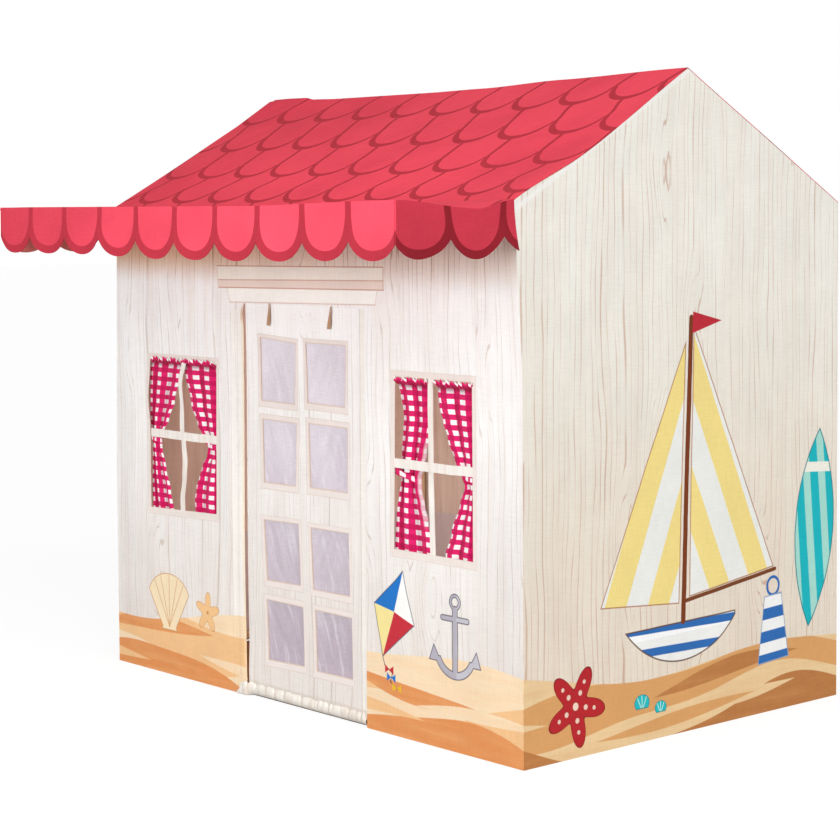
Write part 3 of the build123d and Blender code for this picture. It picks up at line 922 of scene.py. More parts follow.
def slip(row):
    """How far a row of tiles is slipped along the roof."""
    total = 0.0
    for slipped, by in ((1.0, 0.015), (4.0, 0.025)):
        total = nodes.math("MULTIPLY_ADD", nodes.math("COMPARE", row, slipped, 0.5), by, total)
    return total


slipped_here = slip(row)
along = nodes.math("ADD", along, slipped_here)
to_next = nodes.math("SUBTRACT", slip(nodes.math("ADD", row, 1.0)), slipped_here)
fall = nodes.math("MULTIPLY", nodes.math("SUBTRACT", rows, row), drawn_height)
stagger = nodes.math("MULTIPLY", nodes.math("MODULO", row, 2.0), tile_width / 2)
from_middle = nodes.math("WRAP", nodes.math("ADD", along, stagger), tile_width / 2, -tile_width / 2)


def foot_oval(shift_across, shift_down, smaller):
    """The half oval at a tile's foot, as a distance to its outline."""
    across = nodes.math("SUBTRACT", from_middle, shift_across)
    downward = nodes.math("SUBTRACT", fall, shift_down)
    downward = nodes.math("MULTIPLY", downward, tile_width / 2 / tile_foot)
    away = nodes.vector("LENGTH", nodes.join(across, downward), output=1)
    return nodes.math("SUBTRACT", away, tile_width / 2 - smaller)


outer, inner = foot_oval(0.0, 0.0, 0.0), foot_oval(0.0028, -0.0062, 0.0075)
ring = nodes.without(outer, inner)
lean = nodes.math("MULTIPLY", to_next, nodes.ramp(fall, tile_foot, drawn_height))
from_joint = nodes.math("ADD", nodes.math("SUBTRACT", from_middle, 0.0032), lean)
joint = nodes.math("SUBTRACT", nodes.math("ABSOLUTE", from_joint), 0.0046)
joint = nodes.without(joint, outer)
outline = nodes.ramp(nodes.math("MINIMUM", ring, joint), 0.0008, -0.0008)
faded = nodes.noise(nodes.join(x, down), (4, 4), 2.0)
red = nodes.mix(nodes.ramp(faded, 0.35, 0.7), ink("EC4A5B"), ink("E04355"))
# Painted shade: the red darkens toward the roof's upper left-hand part
corner = nodes.ramp(nodes.math("MULTIPLY_ADD", down, 0.8, x), -0.65, 0.40, 0.35, 0.0)
red = nodes.mix(corner, red, ink("C93446"))
tiles = nodes.mix(nodes.math("MULTIPLY", outline, 0.92), red, ink("AE2C39"))
roof_canvas = finish_canvas(nodes, nodes.join(x, down), tiles)
print("roof print nodes:", len(tree.nodes))

# %% [markdown]
# The red cloth's inside is the unprinted back of the same canvas, where the red shows
# through as a dull pink.

# %% Inside of the red canvas
tree, finish_canvas = canvas_material("red_canvas")
nodes = Nodes(tree)
x, y, z = nodes.split(nodes.object_point())
streaks = nodes.noise(nodes.join(x, y), (6, 6), 2.0)
red_canvas = finish_canvas(nodes, nodes.join(x, y), nodes.mix(streaks, ink("DB8079"), ink("CE726C")))
print("red canvas nodes:", len(tree.nodes))

# %% [markdown]
# ## The valance's print
#
# Each scallop of the valance is printed as the end of a roof tile: a bright field with a
# darker border that follows the cut edge, and a darker divider between two scallops. The
# border is what lies outside a smaller circle and between the dividers, so it always fits
# the cut. The side valances get darker inks than the front one, a painted shade, and the
# front one's field darkens toward its left-hand end, a painted shade too.

# %% Valance print
scallop, drop, bow = 0.130, 0.0615, 0.034
arc_radius = (scallop**2 / 4 + bow**2) / (2 * bow)
arc_centre = drop + bow - arc_radius  # below the top edge
valance_top = eaves - 0.0006


def valance_material(name, corners, field, border):
    """A valance's print, on its flat layout. At each listed corner the field has no border."""
    tree, finish = canvas_material(name, 0.0)
    nodes = Nodes(tree)
    u, v, _ = nodes.split(nodes.pattern_point())
    run = nodes.math("ABSOLUTE", u)
    at_corner = 0.0
    for corner in corners:
        close = nodes.math("COMPARE", run, corner, scallop / 2)
        at_corner = nodes.math("ADD", close, at_corner)
    wobble = nodes.noise(nodes.join(run, v), (16, 16), 1.0)
    off = nodes.math("MULTIPLY_ADD", wobble, 0.006, nodes.math("SUBTRACT", run, scallop / 2 + 0.003))
    off = nodes.math("WRAP", off, scallop / 2, -scallop / 2)
    half_field = nodes.math("MULTIPLY_ADD", at_corner, 0.012, scallop / 2 - 0.0080)
    aside = nodes.math("POWER", nodes.math("DIVIDE", nodes.math("ABSOLUTE", off), half_field), 2.0)
    below = nodes.math("DIVIDE", v, 0.0165 - drop - bow)
    low = nodes.math("POWER", nodes.math("MAXIMUM", below, 0.0), 3.3)
    mask = nodes.ramp(nodes.math("ADD", aside, low), 1.025, 0.975)
    faded = nodes.noise(nodes.join(run, v), (5, 9), 2.0)
    bright = nodes.mix(nodes.ramp(faded, 0.35, 0.7, 0.0, 0.2), ink(field), ink(border))
    # Painted shade: the front valance's field darkens toward its left-hand end
    if 2 * side in corners:
        bright = nodes.mix(nodes.ramp(run, 0.0, 0.9, 0.55, 0.0), bright, ink(border))
    return finish(nodes, nodes.join(run, v), nodes.mix(mask, ink(border), bright))


valance_canvas = {
    "front": valance_material("valance_front_print", (0.0, 2 * side), "FA5368", "B93242"),
    # Painted shade: the side valances get darker inks than the front one
    "side": valance_material("valance_side_print_painted_shade", (0.0,), "D63D50", "92202C"),
}
print("valance prints:", list(valance_canvas))

# %% [markdown]
# ## Gingham
#
# Gingham is woven from dyed and white threads: where both are dyed it is darkest, and
# where both are white it is white. It could be a checker texture, but that has two tones
# only, and gingham has three. The pattern reads the cloth's own flat layout, so it bends
# with every fold. The curtains are gathered, so a check is wider than tall on their flat
# layout and about square on the window. Two numbers at each point, which the curtains
# bring, paint shade where the cloth is folded in and pale it where the hem is turned out.

# %% Gingham
check_across, check_up = 0.0170, 0.0102


def gingham_material(name, both_dyed, one_dyed, undyed):
    """Gingham on the cloth's own flat layout, with painted shade where the cloth is folded in."""
    tree, finish = canvas_material(name, 0.1)
    nodes = Nodes(tree)
    point = nodes.pattern_point()
    u, v, _ = nodes.split(point)
    dyed = []
    for along, check in ((u, check_across), (v, check_up)):
        saw = nodes.math("PINGPONG", along, check)
        dyed.append(nodes.ramp(saw, check * 0.44, check * 0.50))
    one = nodes.math("MAXIMUM", *dyed)
    two = nodes.math("MINIMUM", *dyed)
    colour = nodes.mix(two, nodes.mix(one, ink(undyed), ink(one_dyed)), ink(both_dyed))
    # Painted shade where the curtains' numbers say the cloth is folded in
    fold = nodes.add("ShaderNodeAttribute", {}, "Fac", attribute_name="fold")
    colour = nodes.mix(fold, colour, ink("9C3E66"), "MULTIPLY")
    turned = nodes.add("ShaderNodeAttribute", {}, "Fac", attribute_name="turned")
    colour = nodes.mix(turned, colour, ink("E6CDD3"))
    return finish(nodes, point, colour, 0.0002)


gingham = gingham_material("gingham", "CB1059", "E3206C", "FCFAFA")
gingham_reverse = gingham_material("gingham_reverse", "CE6E92", "E3A3B8", "F3E9E9")
print("gingham nodes:", len(gingham.node_tree.nodes))

# %% [markdown]
# ## Sheers and ribbons
#
# The panes of the door are sheer voile. Its threads let some light through, which could be
# a transparent shader, but the shader's own alpha does it and follows the threads. The voile
# is darker toward its foot, a painted shade, and slanted noise paints pale streaks, painted
# highlights that stand for the soft folds that catch the light.

# %% Sheer cloth
sheer_material = bpy.data.materials.new("sheer")
sheer_material.use_nodes = True
tree = sheer_material.node_tree
shader = tree.nodes["Principled BSDF"]
shader.inputs["Roughness"].default_value = 0.7
shader.inputs["Specular IOR Level"].default_value = 0.2
shader.inputs["Sheen Weight"].default_value = 0.3
nodes = Nodes(tree)
x, y, z = nodes.split(nodes.object_point())
upright = nodes.join(x, z)
threads = nodes.math("ADD", nodes.noise(upright, (40, 700), 1.0), nodes.noise(upright, (700, 40), 1.0))
cloudy = nodes.noise(upright, (10, 6), 2.0)
# Painted shade: the voile is darker toward its foot
painted_shade_by_height = nodes.mix(nodes.ramp(z, 0.10, 0.66), ink("C8BBC6"), ink("F2ECF4"))
clouded = nodes.mix(nodes.ramp(cloudy, 0.3, 0.7, 0.0, 0.35), painted_shade_by_height, ink("C6B8C6"))
slanted = nodes.noise(nodes.join(nodes.math("MULTIPLY_ADD", z, 0.35, x), z), (75, 7), 1.0)
# Painted highlights: pale slanted streaks on the soft folds
painted_fold_highlights = nodes.ramp(slanted, 0.52, 0.72, 0.0, 0.45)
tree.links.new(nodes.mix(painted_fold_highlights, clouded, ink("F3EEF3")), shader.inputs["Base Color"])
tree.links.new(nodes.ramp(threads, 0.6, 1.4, 0.76, 0.92), shader.inputs["Alpha"])
print("sheer nodes:", len(tree.nodes))

# %% [markdown]
# The ribbons are narrow woven tape with fine ribs across, each 0.6 mm from its lightest to
# its darkest part.

# %% Ribbon
rib = 0.0006
tree, finish_canvas = canvas_material("ribbon", 0.3)
nodes = Nodes(tree)
point = nodes.pattern_point()
u, v, _ = nodes.split(point)
ribs = nodes.ramp(nodes.math("PINGPONG", v, rib), 0.0, rib)
ribbon_cloth = finish_canvas(nodes, point, nodes.mix(ribs, ink("C09A7B"), ink("A9825F")))
print("ribbon nodes:", len(tree.nodes))

# %% [markdown]
# ## Poles and sockets
#
# The poles are pine dowels: pale, with darker streaks that run along each pole. The same
# noise stretched along the pole's own direction does that, so there is one material for
# each direction. A rafter slants, so its grain is stretched a little both ways it runs.

# %% Pole wood


def pole_wood(name, stretch):
    """Pine, with its grain along the axis that stretch makes long."""
    material = bpy.data.materials.new(name)
    material.use_nodes = True
    tree = material.node_tree
    shader = tree.nodes["Principled BSDF"]
    shader.inputs["Specular IOR Level"].default_value = 0.3
    nodes = Nodes(tree)
    point = nodes.object_point()
    grain = nodes.noise(point, stretch, 3.0)
    fine = nodes.noise(point, [s * 4 for s in stretch], 2.0)
    colour = nodes.mix(nodes.ramp(grain, 0.35, 0.65), ink("E0C8A6"), ink("CDAE8A"))
    colour = nodes.mix(nodes.ramp(fine, 0.55, 0.75, 0.0, 0.5), colour, ink("B08C66"))
    bump = nodes.add("ShaderNodeBump", {"Height": fine, "Distance": 0.0003, "Strength": 0.4})
    tree.links.new(colour, shader.inputs["Base Color"])
    tree.links.new(nodes.ramp(fine, 0.3, 0.7, 0.45, 0.65), shader.inputs["Roughness"])
    tree.links.new(bump, shader.inputs["Normal"])
    return material


woods = {
    "X": pole_wood("pole_wood_along", (4, 90, 90)),
    "Y": pole_wood("pole_wood_deep", (90, 4, 90)),
    "Z": pole_wood("pole_wood_upright", (90, 90, 4)),
    "rafter": pole_wood("pole_wood_rafter", (90, 30, 30)),
}
print("woods:", list(woods))

# %% [markdown]
# The sockets are moulded plastic, smooth and slightly uneven. Their sharp edges are
# painted a little lighter, and the shader's own measure of sharpness finds them.

# %% Socket plastic, and a finish for every solid
socket_plastic = bpy.data.materials.new("socket_plastic")
socket_plastic.use_nodes = True
tree = socket_plastic.node_tree
shader = tree.nodes["Principled BSDF"]
nodes = Nodes(tree)
mottle = nodes.noise(nodes.object_point(), (60, 60, 60), 3.0)
grit = nodes.noise(nodes.object_point(), (900, 900, 900), 1.0)
lighter_edges = nodes.ramp(nodes.add("ShaderNodeNewGeometry", {}, "Pointiness"), 0.5, 0.6, 0.0, 0.6)
moulded = nodes.mix(nodes.ramp(mottle, 0.3, 0.7), ink("E9E7E1"), ink("DEDBD3"))
tree.links.new(nodes.mix(lighter_edges, moulded, ink("F7F6F2")), shader.inputs["Base Color"])
tree.links.new(nodes.ramp(mottle, 0.3, 0.7, 0.38, 0.5), shader.inputs["Roughness"])
bump = nodes.add("ShaderNodeBump", {"Height": grit, "Distance": 0.0001, "Strength": 0.5})
tree.links.new(bump, shader.inputs["Normal"])

grain_of = {
    "X": (
        "front_floor_pole", "back_floor_pole", "front_eaves_pole", "back_eaves_pole",
        "ridge_pole", "awning_front_pole",
    ),
    "Y": ("left_floor_pole", "right_floor_pole", "awning_arms"),
    "Z": ("front_posts", "back_posts"),
    "rafter": ("left_rafters", "right_rafters"),
}
finishes = {name: woods[direction] for direction, names in grain_of.items() for name in names}
for name in ("floor_sockets", "eaves_sockets", "ridge_sockets", "awning_sockets"):
    finishes[name] = socket_plastic
for name, finish in finishes.items():
    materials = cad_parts[name].data.materials
    materials.clear()
    materials.append(finish)
print("solids with a finish:", len(finishes))

# %% [markdown]
# ## How a piece of cloth is made
#
# Every panel starts as it does on the cutting table: flat. A grid is laid out at its true
# size, with a grid line on each edge of an opening, and the faces in the openings are
# deleted. The flat layout is kept as the cloth's UV map.

# %% Cutting cloth


def lines(low, high, step, *edges):
    """Places for grid lines, about a step apart, with one on each edge that is named."""
    stops = sorted({low, high, *edges})
    places = [low]
    for start, end in zip(stops, stops[1:]):
        count = max(1, round((end - start) / step))
        places += [start + (end - start) * (i + 1) / count for i in range(count)]
    return places


def cut_cloth(name, across, up, openings=(), rise=None):
    """Lays a grid out flat, cuts the openings and keeps the layout as the UV map.

    Where the cut edge isn't straight, up holds shares, and rise gives each column's length.
    """
    bpy.ops.object.select_all(action="DESELECT")
    columns, rows = len(across) - 1, len(up) - 1
    bpy.ops.mesh.primitive_grid_add(x_subdivisions=columns, y_subdivisions=rows, size=1)
    piece = bpy.context.object
    piece.name = piece.data.name = name
    mesh = piece.data
    for vertex in mesh.vertices:
        column = round((vertex.co.x + 0.5) * columns)
        row = round((vertex.co.y + 0.5) * rows)
        length = rise(across[column]) if rise else 1.0
        vertex.co = (across[column], up[row] * length, 0)
    layout = mesh.uv_layers.active.data
    for loop in mesh.loops:
        layout[loop.index].uv = mesh.vertices[loop.vertex_index].co.xy
    if openings:
        bpy.ops.object.mode_set(mode="EDIT")
        bpy.ops.mesh.select_mode(type="FACE")
        bpy.ops.mesh.select_all(action="DESELECT")
        bpy.ops.object.mode_set(mode="OBJECT")
        for face in mesh.polygons:
            x, y = face.center.xy
            face.select = any(l < x < r and b < y < t for l, b, r, t in openings)
        bpy.ops.object.mode_set(mode="EDIT")
        bpy.ops.mesh.delete(type="FACE")
        bpy.ops.object.mode_set(mode="OBJECT")
    return piece


print("a quarter apart:", lines(0.0, 1.0, 0.25))

# %% [markdown]
# Then each point moves to its place on the frame, and a solidify modifier gives the canvas
# its thickness. Cloth simulation was the other way, but these panels are stretched over
# poles, and their few creases are easier to place one by one. Where a cloth is rolled until it
# meets itself, its two edges are merged.

# %% Hanging and sewing cloth
canvas_thick = 0.0012


def hang(piece, place):
    """Moves every point of a flat cloth: place(across, up) gives its x, y and z."""
    for vertex in piece.data.vertices:
        vertex.co = place(vertex.co.x, vertex.co.y)
    piece.data.update()


def close_seam(face_out=False):
    """Merges the edges where the newest cloth meets itself."""
    bpy.ops.object.mode_set(mode="EDIT")
    bpy.ops.mesh.select_all(action="SELECT")
    bpy.ops.mesh.remove_doubles(threshold=0.00001)
    if face_out:
        bpy.ops.mesh.normals_make_consistent(inside=False)
    bpy.ops.object.mode_set(mode="OBJECT")


def sew(piece, nodes, materials, thick=canvas_thick):
    """Gives a hung cloth its thickness and finish, attaches it to the root, and hides the frame's parts
    that it stands for.
    """
    mesh = piece.data
    mesh.materials.clear()
    for material in materials:
        mesh.materials.append(material)
    canvas = piece.modifiers.new("canvas", "SOLIDIFY")
    canvas.thickness = thick
    canvas.offset = -1
    canvas.material_offset = len(materials) - 1
    bpy.ops.object.select_all(action="DESELECT")
    piece.select_set(True)
    bpy.context.view_layer.objects.active = piece
    bpy.ops.object.modifier_apply(modifier=canvas.name)
    bpy.ops.object.shade_smooth_by_angle(angle=radians(40))
    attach(piece, "root")
    if nodes:
        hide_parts(*nodes)
    print(piece.name, len(mesh.polygons), "faces")


print("canvas thickness:", canvas_thick)

# %% [markdown]
# Hung cloth billows and creases. Those forms are sums of a few simple ones: a smooth step,
# a bump, slow noise, and a line through listed places. The last function moves the cloth
# near an opening as its four corners move, because hems pull openings out of square.

# %% Shapes of slack cloth


def soft(x, low, high):
    """Rises smoothly from 0 to 1 between low and high."""
    t = min(1.0, max(0.0, (x - low) / (high - low)))
    return t * t * (3 - 2 * t)


def bell(x, middle, width):
    """A smooth bump of height 1."""
    return exp(-(((x - middle) / width) ** 2))


def billow(x, y, sizes, seed):
    """Smooth noise from -1 to 1, with swells of about the given sizes."""
    return noise.noise(Vector((x / sizes[0], y / sizes[1], seed)))


def between(places, at):
    """The value at a place, smoothly between the listed ones."""
    if at <= places[0][0]:
        return places[0][1]
    for (x0, y0), (x1, y1) in zip(places, places[1:]):
        if at <= x1:
            return y0 + (y1 - y0) * soft(at, x0, x1)
    return places[-1][1]


def drawn_out(x, z, openings, reach):
    """How far cloth is drawn aside by the openings near it.

    Each opening is a flat box with the moves of its corners, in millimetres, clockwise
    from the top left.
    """
    total_x = total_z = total = 0.0
    for (left, bottom, right, top), moves in openings:
        near = 1 - soft(hypot(max(left - x, x - right, 0), max(bottom - z, z - top, 0)), 0.0, reach)
        s = min(1.0, max(0.0, (x - left) / (right - left)))
        t = min(1.0, max(0.0, (z - bottom) / (top - bottom)))
        (ax, az), (bx, bz), (cx, cz), (dx, dz) = moves
        total_x += near * (t * (ax + (bx - ax) * s) + (1 - t) * (dx + (cx - dx) * s))
        total_z += near * (t * (az + (bz - az) * s) + (1 - t) * (dz + (cz - dz) * s))
        total += near
    scale = 0.001 / max(total, 1.0)
    return total_x * scale, total_z * scale


print("a smooth step, in quarters:", [round(soft(share / 4, 0.0, 1.0), 3) for share in range(5)])

# %% [markdown]
# ## The front wall
#
# The front wall is one piece of canvas with a doorway and two window openings. It hangs
# from the eaves and is drawn a little forward by the awning at its top corners, so the
# corner with the gable leans in. The roof, the awning and the gable are sewn to it, so what
# pulls at its edges is written once here and used for all of them.

# %% Pulls on the front wall
wall_top = eaves - 0.0026
notch = 0.0329  # lets the awning's arms through

window_moves = {
    "left": ((-5.5, -4), (8.5, -3), (3.5, 17), (-5.5, 9)),
    "right": ((4.5, 3), (-9.5, 4), (-8.5, 11), (-1.5, 10)),
}
drawn_windows = [(windows[name], window_moves[name]) for name in windows]


def corner_pull(x, z):
    """How far forward the awning draws the cloth near the top of the right-hand corner."""
    return -0.0205 * soft(z, 0.66, 1.10) * soft(x, side - 0.16, side)


def corner_lift(x):
    """How far the cloth at the height of the eaves rises toward its right-hand end."""
    return 0.0085 * soft(x, 0.20, side)


def left_spread(x, z):
    """How far the left-hand corner's cloth stands out below the eaves."""
    return -0.0095 * (1 - soft(z, 0.40, 0.95)) * soft(-x, side - 0.25, side)


def slit_bow(x, z, edge):
    """How far an edge beside the door's slit bows to the left."""
    return -(0.0016 + 0.0036 * bell(z, 0.31, 0.20)) * bell(x, edge, 0.030) * soft(z, 0.0, 0.05)


print("windows drawn out of square:", len(drawn_windows))

# %% [markdown]
# The wall could billow both ways, but the door flap and the curtains hang right behind it,
# so it only billows outwards. It lies still on the edges of its openings.

# %% Front wall


def near_opening(x, z):
    """0 on the edge of an opening and 1 well away from it."""
    free = 1.0
    for left, bottom, right, top in (door, *windows.values()):
        aside = max(left - x, x - right, 0)
        above = max(bottom - z, z - top, 0)
        free = min(free, soft(hypot(aside, above), 0.0, 0.08))
    return free


def front_place(x, z):
    swell = 0.5 + 0.5 * billow(x, z, (0.16, 0.42), 3.1)
    ripple = 0.5 + 0.5 * billow(x, z, (0.045, 0.30), 8.4)
    free = near_opening(x, z) * soft(z, 0.0, 0.10)
    free *= soft(wall_top - z, 0.0, 0.05) * soft(side - abs(x), 0.0, 0.08)
    out = (0.0045 * swell + 0.0012 * ripple) * free
    rolled_hem = 0.0024 * bell(x, -0.188, 0.0085) * soft(0.80 - z, 0.0, 0.02)
    shift_x, shift_z = drawn_out(x, z, drawn_windows, 0.06)
    slit_top = -0.0045 * bell(z, 0.798, 0.014) * bell(x, door[0], 0.012)
    shift_x += slit_top + slit_bow(x, z, door[0]) * soft(0.83 - z, 0.0, 0.03) + left_spread(x, z)
    shift_x -= 0.0075 * bell(z, 0.605, 0.045) * bell(x, windows["left"][0], 0.030)
    shift_z += corner_lift(x) * soft(z, 0.86, 1.01)
    return x + shift_x, front - out - rolled_hem + corner_pull(x, z), z + shift_z


holes = [door, *windows.values()]
notches = [(-side, eaves - notch, notch - side, eaves), (side - notch, eaves - notch, side, eaves)]
hole_sides = [edge for hole in holes for edge in (hole[0], hole[2])]
hole_ends = [edge for hole in holes for edge in (hole[1], hole[3])]
end_gap = 0.0003
across = lines(end_gap - side, side - end_gap, 0.009, *hole_sides, notch - side, side - notch)
up = lines(0.0, wall_top, 0.009, *hole_ends, eaves - notch)
front_wall = cut_cloth("front_wall_cloth", across, up, holes + notches)
hang(front_wall, front_place)
sew(
    front_wall, ("front_wall_left", "front_wall_right", "front_wall_header"),
    (front_canvas, lining_canvas),
)

# %% [markdown]
# ## The roof and the walls under it
#
# One canvas covers both slopes. It could be two flat panels with a hard ridge, but real
# canvas hangs over the ridge pole and sags between its ends. The sheet is laid out as one
# strip from the front eaves up, over and down again.

# %% Roof
half_slope = hypot(ridge - front, peak - eaves)
socket_cover = 1.2652  # the cloth's least height over the sockets of the ridge pole
ridge_line = (
    (-side, 1.2690), (-0.600, 1.2696), (-0.535, 1.2690), (-0.505, 1.2640), (-0.420, 1.2622),
    (-0.100, 1.2622), (0.060, 1.2640), (0.306, 1.2712), (side, 1.2780),
)


def roof_height(x, y):
    """The height of the roof's outer face, which sags from the two flat slopes."""
    from_ridge = (y - ridge) / cos(slope)
    flat = peak - abs(from_ridge) * sin(slope)
    sag = (peak - between(ridge_line, x)) * bell(from_ridge, 0.0, 0.15)
    slack = soft(half_slope - abs(from_ridge), 0.0, 0.10) * soft(abs(from_ridge), 0.0, 0.10)
    slack *= soft(side - abs(x), 0.0, 0.08)
    sag += 0.0035 * slack * (0.5 + 0.5 * billow(x, from_ridge, (0.20, 0.16), 2.6))
    edge = soft(abs(x), side - 0.10, side) * sin(pi * min(1.0, abs(from_ridge) / half_slope))
    height = flat - sag - (0.0055 * edge if x < 0 else 0.0)
    height += corner_lift(x) * soft(-from_ridge, half_slope - 0.24, half_slope)
    over_socket = socket_cover - 0.62 * max(0.0, abs(y - ridge) - 0.0150)
    return max(height, over_socket - 0.3 * max(0.0, 0.610 - abs(x)))


def ridge_pull(x, y):
    """How far forward the ridge is drawn toward its right-hand end."""
    return -0.0095 * soft(x, 0.10, side) * bell((y - ridge) / cos(slope), 0.0, 0.20)


def roof_place(x, along):
    """Along runs from 0 at the front eaves to twice the slope at the back eaves."""
    y = ridge + (along - half_slope) * cos(slope)
    low = 1 - soft(along, 0.0, 0.22)
    return x, y + corner_pull(x, eaves) * low + ridge_pull(x, y), roof_height(x, y)


across = lines(-side, side, 0.011)
along = lines(0.0, 2 * half_slope, 0.010, half_slope)
roof = cut_cloth("roof_cloth", across, along)
hang(roof, roof_place)
sew(
    roof, ("roof_front", "roof_back"),
    (roof_canvas, red_canvas),
)

# %% [markdown]
# A gable could be cut from a rectangle, but then its slanted edges would have steps. So its
# grid is stretched until the top row lies along the two slopes. The gables sag inwards by a
# few millimetres between the poles, and the front edge of a gable goes with the front
# wall's corner, so the two stay sewn together.

# %% Gables
for name, sign in (("left", -1), ("right", 1)):
    across = lines(front + 0.0004, back - 0.0004, 0.010, ridge)
    if sign < 0:
        across = [-y for y in reversed(across)]

    def gable_rise(u):
        return roof_height(sign * side, u * sign) - 0.0018

    gable = cut_cloth(f"gable_{name}_cloth", across, lines(0.0, 1.0, 0.0095), rise=gable_rise)

    def gable_place(u, z):
        y = u * sign
        inside = soft(y, front, front + 0.12) * soft(back - y, 0.0, 0.12) * soft(z, 0.0, 0.12)
        inside *= soft(roof_height(sign * side, y) - z, 0.0, 0.10)
        sag = 0.0045 * (0.5 + 0.5 * billow(y, z, (0.22, 0.40), 4.2 + sign))
        sag += 0.0008 * billow(y, z, (0.05, 0.2), 9.0)
        along = 1 - soft(y, front, front + 0.15)
        out = side - max(sag, 0) * inside
        if sign < 0:
            out -= left_spread(-side, z) * (1 - soft(y, front, front + 0.45))
        forward = corner_pull(sign * side, z) * along + ridge_pull(sign * side, y) * soft(z, 0.80, 1.10)
        return sign * out, y + forward, z

    hang(gable, gable_place)
    sew(
        gable, (f"gable_wall_{name}",),
        (gable_canvas[name], lining_canvas),
    )

# %% [markdown]
# The back wall is a plain rectangle between the two gables. It ends a little short of them,
# so that the cloths touch at the corners without crossing. Its outside faces +Y, so its
# layout runs from right to left.

# %% Back wall
corner_gap = 0.0012
across = lines(corner_gap - side, side - corner_gap, 0.011)
back_wall = cut_cloth("back_wall_cloth", across, lines(0.0, wall_top, 0.011))


def back_place(u, z):
    inside = soft(side - abs(u), 0.0, 0.12) * soft(z, 0.0, 0.12) * soft(wall_top - z, 0.0, 0.10)
    sag = 0.005 * (0.5 + 0.5 * billow(u, z, (0.25, 0.45), 7.7)) * inside
    return -u, back - sag, z


hang(back_wall, back_place)
sew(
    back_wall, ("back_wall",),
    (back_canvas, lining_canvas),
)

# %% [markdown]
# ## The awning
#
# The awning is a canopy between the eaves and the front pole. Its middle hangs a few
# millimetres, but near both ends it lies over the awning's arms and their sockets. Those
# could be left to poke through a flat sheet, which shows from above, so grid lines 3 mm
# apart let the cloth bend round them.

# %% Awning canopy


def side_sag(y, sign):
    """How far the awning's end hems hang between the corner and the eaves."""
    if not awning_edge < y < front:
        return 0.0
    share = (y - awning_edge) / (front - awning_edge)
    if sign < 0:
        return 0.0045 * sin(pi * share)
    return 0.0152 * soft(share, 0.0, 0.70) * soft(1 - share, 0.0, 0.30)


arm_middle, arm_height, arm_cover = side - 0.0176, eaves - 0.0176, 0.0130
socket_depth, socket_width = 0.086, 0.040


def canopy_place(x, y):
    deep = soft(y, awning_edge, awning_edge + 0.12) * soft(front - y, 0.0, 0.12)
    z = eaves - 0.006 * deep * (1 - 0.4 * (x / side) ** 2)
    z += corner_lift(x) - side_sag(y, x) * soft(abs(x), side - 0.10, side)

    # The cloth lies over the arms and the sockets at their front ends
    from_arm = abs(x) - arm_middle
    if abs(from_arm) < arm_cover:
        z = max(z, arm_height + sqrt(arm_cover**2 - from_arm**2))
    if y < awning_edge + socket_depth and side - socket_width < abs(x) < side - 0.0025:
        z = max(z, eaves - 0.0010)

    # It turns down where the valance is sewn on
    over_edge = 0.0030 * (bell(side - abs(x), 0.0, 0.004) + bell(y - awning_edge, 0.0, 0.004))
    return x, y + corner_pull(x, eaves) * soft(y, awning_edge, front), z - over_edge


over_arms = [sign * (side - 0.003 * i) for i in range(1, 13) for sign in (-1, 1)]
across = lines(-side, side, 0.012, *over_arms)
canopy = cut_cloth("awning_cloth", across, lines(awning_edge, front, 0.010, awning_edge + 0.004))
hang(canopy, canopy_place)
sew(
    canopy, ("awning_canopy",),
    (roof_canvas, red_canvas),
)

# %% [markdown]
# A scalloped valance hangs on three sides of the awning. Its edge could be cut with a
# boolean, but a grid can simply be stretched to it: every column reaches down to the
# scallop's arc, and a grid line falls on each point between two scallops. Its ends turn in
# a little at the corners, where the front meets the sides.

# %% Front valance
corner_round, corner_line = 0.005, 0.0015


def scallop_depth(run):
    """How far the valance hangs at a distance along it, counted from a cusp."""
    off = (abs(run) % scallop) - scallop / 2
    return arc_centre + sqrt(arc_radius**2 - off**2)


def round_corner(beyond):
    """How far cloth that turns a corner is set in, by its distance from the corner."""
    turned = max(0.0, 0.785 * corner_round - beyond) / corner_round
    return corner_round * (1 - cos(turned))


def curl(run, share, seed):
    """How far a scallop's foot stands out."""
    slow = 0.0045 * share**2 * (0.4 + billow(run, share, (0.11, 2.0), seed))
    return slow + 0.002 * share * sin(2 * pi * run / scallop + 0.6)


def front_depth(run):
    """The same as scallop_depth, with the front's right-hand end counted to its last scallop."""
    return scallop_depth(min(run, 2 * side - 1e-6))


def foot_drop(x, share):
    """How much lower the scallops' feet hang toward the right-hand end."""
    return share * (0.0060 * soft(x, -0.32, -0.03) + 0.25 * corner_lift(x) + 0.0045 * bell(x, side, 0.04))


def valance_front_place(run, up):
    share = -up / front_depth(run)
    from_end = min(run, 2 * side - run)
    out = curl(run, share, 1.3) * soft(from_end, 0.0, 0.05)
    lift = corner_lift(run - side) - foot_drop(run - side, share)
    drift = between(((0.0, 0.006), (0.06, 0.0), (0.45, 0.0020), (1.17, 0.0055), (1.30, 0.0)), run)
    return run - side + drift, awning_edge - out + round_corner(from_end), valance_top + up + lift


rows = lines(-1.0, 0.0, 0.07)
cusps = [i * scallop for i in range(11)]
columns = lines(0.0, 2 * side, 0.0054, *cusps, corner_line, 2 * side - corner_line)
valance = cut_cloth("valance_front_cloth", columns, rows, rise=front_depth)
hang(valance, valance_front_place)
sew(
    valance, ("valance_front",),
    (valance_canvas["front"], red_canvas),
)

# %% [markdown]
# The two side valances are the same cloth, two scallops and a part long, counted from the
# front corner. The right-hand one is drawn out of true by the corner of the house.

